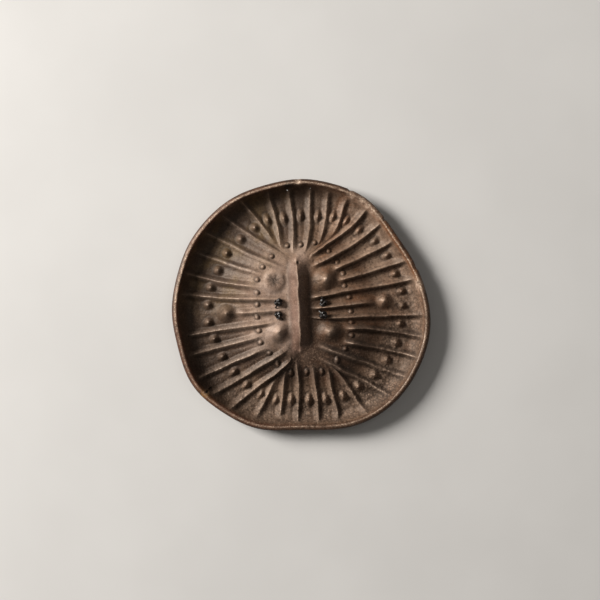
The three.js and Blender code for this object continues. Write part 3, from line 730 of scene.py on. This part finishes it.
def ball(c, r, seg=20, rings=12):
    pts, faces = [(c[0], c[1], c[2] - r[2])], []
    for i in range(1, rings):
        t = math.pi * i / rings
        for j in range(seg):
            p = 2 * math.pi * j / seg
            pts.append((c[0] + r[0] * math.sin(t) * math.cos(p), c[1] + r[1] * math.sin(t) * math.sin(p), c[2] - r[2] * math.cos(t)))
    pts.append((c[0], c[1], c[2] + r[2]))
    top = len(pts) - 1
    for j in range(seg):
        n = (j + 1) % seg
        faces.append((0, 1 + n, 1 + j))
        faces.append((top, 1 + (rings - 2) * seg + j, 1 + (rings - 2) * seg + n))
        for i in range(rings - 2):
            a = 1 + i * seg
            faces.append((a + j, a + n, a + seg + n, a + seg + j))
    return np.array(pts), faces


def joined(parts):
    pts, faces, o = [], [], 0
    for p, f in parts:
        pts.append(np.asarray(p, float))
        faces += [tuple(v + o for v in face) for face in f]
        o += len(p)
    return np.vstack(pts), faces


def knot(x, y, turn, lean, tail):
    """A thong knotted tight over its hole: three folded loops and a cut tail."""
    z0 = max(face_at(x + 4 * math.cos(a), y + 4 * math.sin(a)) for a in np.arange(8) * math.pi / 4)
    t = np.linspace(0, 2 * np.pi, 90, endpoint=False)
    c = np.stack([1.72 * (np.sin(t) + 2 * np.sin(2 * t)), 1.6 * (np.cos(t) - 2 * np.cos(2 * t)), -1.9 * np.sin(3 * t)], -1)
    out = c * np.array([1, 1, 2.2]) + np.array([0, 0, 1e-3])
    pts, faces = strap(c * np.array([1.62, 1.62, 1.5]), out, 3.7 + 0.5 * np.sin(2 * t + turn), 1.7)
    parts = [(pts, faces), ball((0, 0, -0.6), (6.8, 6.2, 4.0))]
    u = np.linspace(0, 1, 14)[:, None]
    start, mid, end = np.array([2.0, 0, -1.0]), np.array([9.0, 0.6, 1.0]), np.array([14.5, 1.4, -4.2])
    line = (1 - u) ** 2 * start + 2 * u * (1 - u) * mid + u * u * end
    if tail:
        tp, tf = strap(line, np.broadcast_to([0.15, 0, 1.0], line.shape), 1.9, 0.95, 10, False)
        ct, st = math.cos(tail), math.sin(tail)
        tp = tp @ np.array([[ct, st, 0], [-st, ct, 0], [0, 0, 1]])
        parts.append((tp, tf))
    pts, faces = joined(parts)
    ct, st = math.cos(turn), math.sin(turn)
    pts = pts @ np.array([[ct, st, 0], [-st, ct, 0], [0, 0, 1]])
    cl, sl = math.cos(lean), math.sin(lean)
    pts = pts @ np.array([[cl, 0, sl], [0, 1, 0], [-sl, 0, cl]])
    pts = pts + np.array([x, y, z0 + 5.0])
    return (pts, faces), z0


def drop_crumbs(ob):
    """Removes the loose bits, a few faces each, that the remesh leaves behind."""
    bm = bmesh.new()
    bm.from_mesh(ob.data)
    bm.verts.ensure_lookup_table()
    left, islands = set(range(len(bm.verts))), []
    while left:
        stack, found = [left.pop()], []
        while stack:
            v = stack.pop()
            found.append(v)
            for e in bm.verts[v].link_edges:
                o = e.other_vert(bm.verts[v]).index
                if o in left:
                    left.remove(o)
                    stack.append(o)
        islands.append(found)
    islands.sort(key=len)
    loose = [bm.verts[v] for found in islands[:-1] for v in found]
    bmesh.ops.delete(bm, geom=loose, context="VERTS")
    bm.to_mesh(ob.data)
    bm.free()


def thong(name, x, knots):
    parts = []
    for y, (turn, lean, tail) in zip(KNOTS_Y, knots):
        part, z0 = knot(x, y, turn, lean, tail)
        parts.append(part)
        zz = np.linspace(RUN_Z, z0 + 3.5, 24)
        line = np.stack([x + 0 * zz, y + 0 * zz, zz], -1)
        parts.append(strap(line, np.broadcast_to([1.0, 0, 0], line.shape), 1.9, 1.9, 12, False))
        parts.append(ball((x, y, RUN_Z), (2.1, 2.1, 2.1), 14, 10))
    yy = np.linspace(KNOTS_Y[1], KNOTS_Y[0], 20)
    bow = 0.5 * np.sin(np.linspace(0, np.pi, 20))
    line = np.stack([x + 0 * yy + bow, yy, RUN_Z + 0 * yy + 0.2 * bow], -1)
    parts.append(strap(line, np.broadcast_to([0, 0, 1.0], line.shape), 2.5, 1.7, 12, False))
    pts, faces = joined(parts)
    ob = new_object(name, pts, faces)
    m = ob.modifiers.new("one", "REMESH")
    m.mode = "VOXEL"
    m.voxel_size = 0.0005
    m.use_smooth_shade = True
    m = ob.modifiers.new("soft", "SMOOTH")
    m.factor, m.iterations = 0.5, 2
    apply_modifiers(ob)
    drop_crumbs(ob)
    ob.data.polygons.foreach_set("use_smooth", [True] * len(ob.data.polygons))
    return ob


thong_l = thong("knotted_thong_left", KNOTS_X[0], ((0.5, 0.10, 3.6), (2.2, -0.08, 3.2)))
thong_r = thong("knotted_thong_right", KNOTS_X[1], ((1.4, -0.1, 0.3), (2.9, 0.08, -0.6)))


# ------------------------------------------------------------------ the grip
GRIP_REACH, GRIP_TAB_IN, GRIP_DROP = 64.0, 38.0, 26.0


def grip_mesh():
    steps, around = 128, 56
    pts, faces = [], []
    for i in range(steps + 1):
        u = -math.cos(math.pi * i / steps)
        u = 0.25 * u + 0.75 * (2 * i / steps - 1)
        x = u * GRIP_REACH
        bow = min(1, max(0, (GRIP_TAB_IN - abs(x)) / GRIP_TAB_IN))
        lift = bow * bow * (3 - 2 * bow)
        z = PANEL_BACK - 0.3 - 2.5 - GRIP_DROP * lift
        m = min(1, bow / 0.8)
        m = m * m * (3 - 2 * m)
        end = min(1.0, (GRIP_REACH - abs(x)) / 9)
        wide = (40 * (1 - m) + 27 * m) / 2 * (0.80 + 0.20 * math.sqrt(max(0.0, 1 - (1 - end) ** 2)))
        half = (5 * (1 - m) + 9 * m) / 2 * (1 if end >= 1 else 0.72 + 0.28 * end)
        slope = math.atan(math.copysign(1, x) * GRIP_DROP * 6 * bow * (1 - bow) / GRIP_TAB_IN) if bow < 1 else 0
        for a in range(around):
            q = 2 * math.pi * a / around
            cy = math.copysign(abs(math.cos(q)) ** (0.32 + 0.5 * m), math.cos(q))
            cz = math.copysign(abs(math.sin(q)) ** (0.5 + 0.35 * m), math.sin(q))
            cz *= 1 - 0.10 * m * math.exp(-(((abs(cy) - 0.0) / 0.25) ** 2))
            pts.append((GRIP_MID[0] + x - math.sin(slope) * cz * half, GRIP_MID[1] + cy * wide, z + math.cos(slope) * cz * half))
    for i in range(steps):
        for a in range(around):
            n = (a + 1) % around
            p, q = i * around, (i + 1) * around
            faces.append((p + a, p + n, q + n, q + a))
    faces.append(tuple(range(around))[::-1])
    faces.append(tuple(steps * around + a for a in range(around)))
    pts = np.array(pts)
    away = np.abs(pts[:, 0] - GRIP_MID[0])
    pts[:, 2] += 0.22 * noise2(pts[:, 0], pts[:, 1], 9, 81) * smooth(64, 20, away)
    pts[:, 1] += 0.35 * noise2(pts[:, 0], pts[:, 2] * 3, 14, 82)
    return pts, faces


gp, gf = grip_mesh()
grip = new_object("leather_grip", gp, gf)
cut(grip, posts("cutter2", [(x, y, 2.5, 20, 60) for x in KNOTS_X for y in KNOTS_Y]))
grip.data.polygons.foreach_set("use_smooth", [True] * len(grip.data.polygons))
bm = bmesh.new()
bm.from_mesh(grip.data)
bmesh.ops.recalc_face_normals(bm, faces=bm.faces)
bm.to_mesh(grip.data)
bm.free()


# ------------------------------------------------------------------ materials
def linear(r, g, b):
    def one(v):
        v /= 255
        return v / 12.92 if v <= 0.04045 else ((v + 0.055) / 1.055) ** 2.4
    return (one(r), one(g), one(b), 1.0)


class Tree:
    def __init__(self, name):
        self.mat = bpy.data.materials.new(name)
        self.mat.use_nodes = True
        self.nt = self.mat.node_tree
        self.nt.nodes.clear()
        self.out = self.nt.nodes.new("ShaderNodeOutputMaterial")
        self.bsdf = self.nt.nodes.new("ShaderNodeBsdfPrincipled")
        self.link(self.bsdf.outputs[0], self.out.inputs[0])
        self.coord = self.nt.nodes.new("ShaderNodeTexCoord").outputs["Object"]

    def link(self, a, b):
        self.nt.links.new(a, b)

    def put(self, socket, value):
        if isinstance(value, bpy.types.NodeSocket):
            self.link(value, socket)
        else:
            socket.default_value = value

    def attr(self, name):
        n = self.nt.nodes.new("ShaderNodeAttribute")
        n.attribute_name = name
        return n.outputs["Fac"]

    def math(self, op, a, b=0.0, c=0.0, clamp=False):
        n = self.nt.nodes.new("ShaderNodeMath")
        n.operation, n.use_clamp = op, clamp
        for i, v in enumerate((a, b, c)):
            self.put(n.inputs[i], v)
        return n.outputs[0]

    def scaled(self, scale, offset=(0, 0, 0), turn=0.0):
        n = self.nt.nodes.new("ShaderNodeMapping")
        n.inputs["Scale"].default_value = scale
        n.inputs["Location"].default_value = offset
        n.inputs["Rotation"].default_value = (0, 0, turn)
        self.link(self.coord, n.inputs["Vector"])
        return n.outputs[0]

    def noise(self, scale, detail=3.0, rough=0.55, vector=None, distortion=0.0):
        n = self.nt.nodes.new("ShaderNodeTexNoise")
        self.link(vector or self.coord, n.inputs["Vector"])
        n.inputs["Scale"].default_value = scale
        n.inputs["Detail"].default_value = detail
        n.inputs["Roughness"].default_value = rough
        n.inputs["Distortion"].default_value = distortion
        return n.outputs["Fac"]

    def cells(self, scale, feature="F1", rand=1.0, vector=None):
        n = self.nt.nodes.new("ShaderNodeTexVoronoi")
        n.feature = feature
        self.link(vector or self.coord, n.inputs["Vector"])
        n.inputs["Scale"].default_value = scale
        n.inputs["Randomness"].default_value = rand
        return n.outputs["Distance"]

    def ramp(self, fac, stops, ease="LINEAR"):
        n = self.nt.nodes.new("ShaderNodeValToRGB")
        n.color_ramp.interpolation = ease
        els = n.color_ramp.elements
        while len(els) < len(stops):
            els.new(0.5)
        for e, (p, c) in zip(els, stops):
            e.position = p
            e.color = c if isinstance(c, tuple) else (c, c, c, 1)
        self.put(n.inputs[0], fac)
        return n.outputs[0]

    def mix(self, fac, a, b, kind="MIX"):
        n = self.nt.nodes.new("ShaderNodeMix")
        n.data_type, n.blend_type = "RGBA", kind
        n.clamp_factor = True
        self.put(n.inputs[0], fac)
        self.put(n.inputs[6], a)
        self.put(n.inputs[7], b)
        return n.outputs[2]

    def between(self, v, a, b, lo=0.0, hi=1.0):
        n = self.nt.nodes.new("ShaderNodeMapRange")
        n.interpolation_type = "SMOOTHSTEP"
        self.put(n.inputs[0], v)
        for i, x in enumerate((a, b, lo, hi)):
            n.inputs[i + 1].default_value = x
        return n.outputs[0]

    def bump(self, height, strength, distance, under=None):
        n = self.nt.nodes.new("ShaderNodeBump")
        n.inputs["Distance"].default_value = distance
        self.put(n.inputs["Strength"], strength)
        self.link(height, n.inputs["Height"])
        if under is not None:
            self.link(under, n.inputs["Normal"])
        return n.outputs[0]


def hide_material():
    t = Tree("embossed_hide")
    wear_and_highlight, grime_and_shade, coarse, inset = (t.attr(n) for n in ("wear_and_highlight", "grime_and_shade", "coarse", "inset"))
    sep = t.nt.nodes.new("ShaderNodeSeparateXYZ")
    t.link(t.coord, sep.inputs[0])
    px, py = sep.outputs[0], sep.outputs[1]

    broad = t.noise(9.0, 3, 0.55)
    mid = t.noise(30.0, 4, 0.6)
    fine = t.noise(120.0, 4, 0.62)
    tiny = t.noise(520.0, 3, 0.6)
    streak = t.noise(60.0, 3, 0.6, t.scaled((1.0, 0.35, 1.0), (0.2, 0.1, 0), 0.3))
    pebble = t.cells(185.0)
    pebble2 = t.cells(420.0)
    worm = t.noise(165.0, 2, 0.5, None, 1.4)

    brown = t.mix(t.between(broad, 0.35, 0.65), linear(84, 62, 47), linear(102, 79, 61))
    brown = t.mix(t.between(mid, 0.42, 0.68, 0, 0.5), brown, linear(118, 95, 76))
    # darker and warmer on the inner right and low down, and paler again near the rim there
    right = t.between(px, -0.06, 0.10)
    lower = t.between(py, 0.06, -0.13)
    inner = t.between(inset, 92, 135)
    upper = t.between(py, -0.12, -0.02)
    brown = t.mix(t.math("MULTIPLY", t.math("MULTIPLY", t.between(px, 0.0, 0.08), upper), t.math("MULTIPLY", t.between(mid, 0.3, 0.66, 0.8, 0.45), t.between(inset, 225, 165, 0.25, 1.0))), brown, linear(142, 110, 88))
    # painted shade: the low inner part of the dome is darker
    brown = t.mix(t.math("MULTIPLY", t.math("MULTIPLY", inner, lower), 0.85), brown, linear(52, 38, 31))
    outer = t.math("MULTIPLY", t.between(inset, 122, 92), t.between(inset, 16, 34))
    around = t.math("MULTIPLY", t.between(px, -0.02, 0.12), t.between(px, 0.26, 0.19, 0.55, 1.0))
    around = t.math("MAXIMUM", around, t.between(py, -0.14, -0.21, 0, 0.75))
    brown = t.mix(t.math("MULTIPLY", t.math("MULTIPLY", outer, around), t.between(mid, 0.3, 0.66, 1.0, 0.6)), brown, linear(172, 144, 122))
    near_rim = t.math("MULTIPLY", t.between(inset, 74, 50), t.between(inset, 14, 22))
    brown = t.mix(t.math("MULTIPLY", near_rim, 0.7), brown, linear(92, 74, 61))
    orange = t.math("MULTIPLY", t.between(px, -0.06, 0.10), t.math("MULTIPLY", t.between(t.noise(16.0, 3, 0.6), 0.48, 0.66, 0, 0.55), t.between(py, -0.10, -0.02, 0.35, 1.0)))
    brown = t.mix(orange, brown, linear(116, 72, 42))
    # the waxed, handled middle left is paler
    polish = t.math("MULTIPLY", t.between(inset, 112, 190), t.between(px, 0.035, -0.015))
    polish = t.math("MULTIPLY", polish, t.between(py, -0.13, -0.05))
    polish = t.math("MULTIPLY", polish, t.between(streak, 0.3, 0.6, 0.7, 1.0))
    brown = t.mix(polish, brown, t.mix(t.between(mid, 0.38, 0.62), linear(146, 121, 104), linear(178, 153, 137)))
    # the left flank of the middle ridge is handled and a little redder, and no paler than the panel
    across = t.math("ADD", px, t.math("MULTIPLY", py, 0.0425))
    flank = t.math("MULTIPLY", t.between(across, -0.032, -0.022), t.between(across, 0.006, -0.004))
    flank = t.math("MULTIPLY", flank, t.math("MULTIPLY", t.between(py, -0.118, -0.095), t.between(py, 0.118, 0.09)))
    brown = t.mix(t.math("MULTIPLY", flank, 0.9), brown, t.mix(t.between(mid, 0.35, 0.65), linear(92, 68, 57), linear(110, 83, 71)))
    # painted shade inside the rim on the left and at the top left
    lean = t.math("ADD", t.math("MULTIPLY", px, -0.9), t.math("MULTIPLY", py, 0.45))
    left = t.math("MULTIPLY", t.between(inset, 172, 104), t.between(lean, 0.0, 0.11))
    brown = t.mix(t.math("MULTIPLY", left, t.between(mid, 0.3, 0.65, 0.95, 0.62)), brown, linear(50, 36, 27))
    olive = t.math("MULTIPLY", t.between(px, 0.02, -0.10), t.between(py, -0.06, 0.05))
    olive = t.math("MULTIPLY", olive, t.between(t.noise(15.0, 3, 0.6), 0.46, 0.62, 0, 0.42))
    brown = t.mix(olive, brown, linear(104, 82, 44))
    # painted shade on the right flank of the middle ridge and just beside it
    shaded = t.math("MULTIPLY", t.between(across, -0.004, 0.004), t.between(across, 0.034, 0.02))
    shaded = t.math("MULTIPLY", shaded, t.math("MULTIPLY", t.between(py, -0.118, -0.095), t.between(py, 0.118, 0.09)))
    brown = t.mix(t.math("MULTIPLY", shaded, 0.55), brown, linear(68, 45, 32))
    # the rolled edge is redder at the left and orange at the upper right
    edge = t.between(inset, 17, 12)
    brown = t.mix(t.math("MULTIPLY", edge, 0.75), brown, linear(72, 48, 35))
    holes = t.math("MULTIPLY", t.between(px, -0.185, -0.205), t.between(py, -0.165, -0.185))
    brown = t.mix(t.math("MULTIPLY", edge, holes), brown, t.mix(t.between(fine, 0.45, 0.55), linear(60, 42, 24), linear(146, 106, 58)))
    brown = t.mix(t.math("MULTIPLY", edge, t.between(px, 0.05, -0.2, 0, 0.7)), brown, linear(98, 60, 44))
    brown = t.mix(t.math("MULTIPLY", edge, t.math("MULTIPLY", t.between(px, 0.12, 0.22), t.between(py, 0.0, 0.1, 0, 0.75))), brown, linear(134, 84, 48))
    patch = t.between(t.noise(48.0, 4, 0.7), 0.42, 0.66)
    brown = t.mix(t.math("MULTIPLY", edge, t.math("MULTIPLY", patch, 0.75)), brown, linear(60, 42, 31))
    # speckle
    plain = t.math("SUBTRACT", 1.0, t.math("MULTIPLY", polish, 0.5))
    brown = t.mix(t.math("MULTIPLY", plain, t.between(fine, 0.48, 0.72, 0, 0.7)), brown, linear(46, 32, 22))
    brown = t.mix(t.math("MULTIPLY", plain, t.between(t.noise(75.0, 4, 0.65), 0.54, 0.70, 0, 0.6)), brown, linear(56, 39, 27))
    fewer = t.math("SUBTRACT", 1.0, t.math("MULTIPLY", left, 0.65))
    brown = t.mix(t.math("MULTIPLY", fewer, t.between(t.noise(210.0, 3, 0.6), 0.52, 0.70, 0, 0.45)), brown, linear(140, 112, 92))
    grit = t.noise(360.0, 3, 0.65)
    brown = t.mix(t.between(grit, 0.52, 0.70, 0, 0.5), brown, linear(44, 31, 22))
    brown = t.mix(t.math("MULTIPLY", fewer, t.between(grit, 0.46, 0.30, 0, 0.32)), brown, linear(176, 150, 130))
    # soiling in the hollows, with painted shade on the sides of creases and bosses away from the upper left
    dirt_and_shade = t.math("MULTIPLY", grime_and_shade, t.between(fine, 0.25, 0.6, 0.7, 1.0))
    brown = t.mix(t.math("MULTIPLY", dirt_and_shade, 0.9), brown, linear(26, 17, 12))
    # worn crests, with painted highlights on the sides facing the upper left and along the rolled edge
    rub_and_highlight = t.math("MULTIPLY", wear_and_highlight, t.between(fine, 0.7, 0.35, 0.35, 1.0))
    brown = t.mix(t.math("MULTIPLY", rub_and_highlight, 0.66), brown, linear(190, 162, 141))
    brown = t.mix(t.math("MULTIPLY", t.between(edge, 1.0, 0.0), t.between(rub_and_highlight, 0.45, 1.0, 0, 0.55)), brown, linear(226, 202, 182))
    # the worn mouth of the pierced hole at the lower left, with a paler ring round it
    halo = t.math("SQRT", t.math("ADD", t.math("POWER", t.math("ADD", px, 0.2150), 2.0), t.math("POWER", t.math("ADD", py, 0.1985), 2.0)))
    gap = t.math("SQRT", t.math("ADD", t.math("POWER", t.math("ADD", px, 0.2115), 2.0), t.math("POWER", t.math("ADD", py, 0.195), 2.0)))
    ring = t.math("MULTIPLY", t.between(halo, 0.0115, 0.0055), t.between(t.noise(150.0, 3, 0.6), 0.35, 0.6, 0.35, 1.0))
    brown = t.mix(t.math("MULTIPLY", ring, 0.6), brown, linear(136, 100, 56))
    # the hole's mouth is painted near black: painted shade
    brown = t.mix(t.between(gap, 0.0042, 0.0026), brown, linear(10, 7, 5))
    # bright rubbed spots along the rolled edge, with painted glints where its highlight is painted
    specks_and_glints = t.math("MULTIPLY", edge, t.math("MULTIPLY", wear_and_highlight, t.between(grit, 0.50, 0.38, 0, 0.7)))
    brown = t.mix(specks_and_glints, brown, linear(232, 208, 182))
    # coarse grain shows dark between its pebbles
    pits = t.math("MULTIPLY", coarse, t.between(pebble, 0.28, 0.60, 0, 0.62))
    brown = t.mix(pits, brown, linear(38, 27, 20))
    t.link(brown, t.bsdf.inputs["Base Color"])

    rough = t.math("ADD", 0.36, t.math("MULTIPLY", fine, 0.28))
    rough = t.math("ADD", rough, t.math("MULTIPLY", grime_and_shade, 0.16))
    rough = t.math("ADD", rough, t.math("MULTIPLY", coarse, 0.14))
    rough = t.math("SUBTRACT", rough, t.math("MULTIPLY", wear_and_highlight, 0.16))
    rough = t.math("SUBTRACT", rough, t.math("MULTIPLY", edge, 0.08))
    t.link(t.math("MINIMUM", rough, 0.85), t.bsdf.inputs["Roughness"])
    t.bsdf.inputs["Specular IOR Level"].default_value = 0.42
    t.bsdf.inputs["Specular Tint"].default_value = (1.0, 0.86, 0.74, 1)

    n1 = t.bump(mid, 0.35, 0.003)
    grain = t.math("ADD", t.math("MULTIPLY", worm, 0.6), t.math("MULTIPLY", t.math("SUBTRACT", 0.6, pebble), 0.5))
    n2 = t.bump(grain, t.math("ADD", 0.12, t.math("MULTIPLY", coarse, 0.6), 0.0, True), 0.0032, n1)
    n3 = t.bump(t.math("SUBTRACT", fine, t.math("MULTIPLY", pebble2, 0.35)), 0.35, 0.0008, n2)
    n3 = t.bump(grit, 0.5, 0.0007, n3)
    n4 = t.bump(tiny, 0.3, 0.0003, n3)
    t.link(n4, t.bsdf.inputs["Normal"])
    return t.mat


def leather_material(name, dark, mid_c, pale, rough, scale=1.0):
    t = Tree(name)
    broad = t.noise(40.0 * scale, 3, 0.6)
    fine = t.noise(300.0 * scale, 4, 0.6)
    creases = t.cells(260.0 * scale, "DISTANCE_TO_EDGE")
    c = t.mix(t.between(broad, 0.35, 0.65), dark, mid_c)
    c = t.mix(t.between(fine, 0.5, 0.75, 0, 0.5), c, pale)
    c = t.mix(t.between(creases, 0.06, 0.0, 0, 0.5), c, dark)
    t.link(c, t.bsdf.inputs["Base Color"])
    t.link(t.math("ADD", rough, t.math("MULTIPLY", fine, 0.2)), t.bsdf.inputs["Roughness"])
    n1 = t.bump(t.between(creases, 0.0, 0.12), 0.3, 0.0006)
    n2 = t.bump(fine, 0.4, 0.0004, n1)
    t.link(n2, t.bsdf.inputs["Normal"])
    return t.mat


hide.data.materials.clear()
hide.data.materials.append(hide_material())
thong_mat = leather_material("blackened_thong", linear(14, 10, 8), linear(26, 19, 15), linear(50, 39, 33), 0.24)
grip_mat = leather_material("grip_leather", linear(52, 34, 24), linear(84, 58, 40), linear(120, 90, 66), 0.45)
for ob, mat in ((thong_l, thong_mat), (thong_r, thong_mat), (grip, grip_mat)):
    ob.data.materials.clear()
    ob.data.materials.append(mat)

# ------------------------------------------------------------------ riding on the frame
for ob, nodes, slot in (
    (hide, ("shield_hide",), "hide"),
    (grip, ("hand_grip",), "grip_leather"),
    (thong_l, ("thong_left",), "thong_leather"),
    (thong_r, ("thong_right",), "thong_leather"),
):
    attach(ob, "root")
    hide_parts(*nodes)

# ------------------------------------------------------------------ floor, light and camera
floor = new_object("floor", [(-4000, -4000, 0), (4000, -4000, 0), (4000, 4000, 0), (-4000, 4000, 0)], [(0, 1, 2, 3)], False)
ft = Tree("pale_floor")
ft.link(ft.mix(ft.between(ft.noise(3.0, 3, 0.5), 0.3, 0.7), (0.60, 0.59, 0.575, 1), (0.63, 0.62, 0.605, 1)), ft.bsdf.inputs["Base Color"])
ft.bsdf.inputs["Roughness"].default_value = 0.9
floor.data.materials.append(ft.mat)

scene = bpy.context.scene
world = bpy.data.worlds.new("studio")
world.use_nodes = True
world.node_tree.nodes["Background"].inputs[0].default_value = (1.0, 0.95, 0.89, 1)
world.node_tree.nodes["Background"].inputs[1].default_value = 0.11
scene.world = world


def lamp(name, azimuth, elevation, distance, size, power, colour=(1, 1, 1), size_y=None):
    data = bpy.data.lights.new(name, "AREA")
    data.shape = "RECTANGLE"
    data.size, data.size_y = size, size_y or size
    data.energy, data.color = power, colour
    ob = bpy.data.objects.new(name, data)
    a, e = math.radians(azimuth), math.radians(elevation)
    ob.location = (distance * math.cos(e) * math.cos(a), distance * math.cos(e) * math.sin(a), distance * math.sin(e))
    ob.rotation_euler = (Vector((0, 0, 0.03)) - ob.location).to_track_quat("-Z", "Y").to_euler()
    scene.collection.objects.link(ob)
    return ob


lamp("key", 157, 29, 7.0, 2.8, 960, (1.0, 0.97, 0.93))
lamp("fill", 30, 65, 4.0, 2.0, 9, (1.0, 0.97, 0.93))

cam_data = bpy.data.cameras.new("camera")
cam_data.lens, cam_data.sensor_width = 85, 36
cam_data.clip_end = 50
camera = bpy.data.objects.new("camera", cam_data)
camera.location = (-0.00246, 0.01063, 3.170 + 0.0335)
camera.rotation_euler = (0, 0, 0)
scene.collection.objects.link(camera)
scene.camera = camera
scene.view_settings.view_transform = "Standard"
scene.view_settings.look = "None"
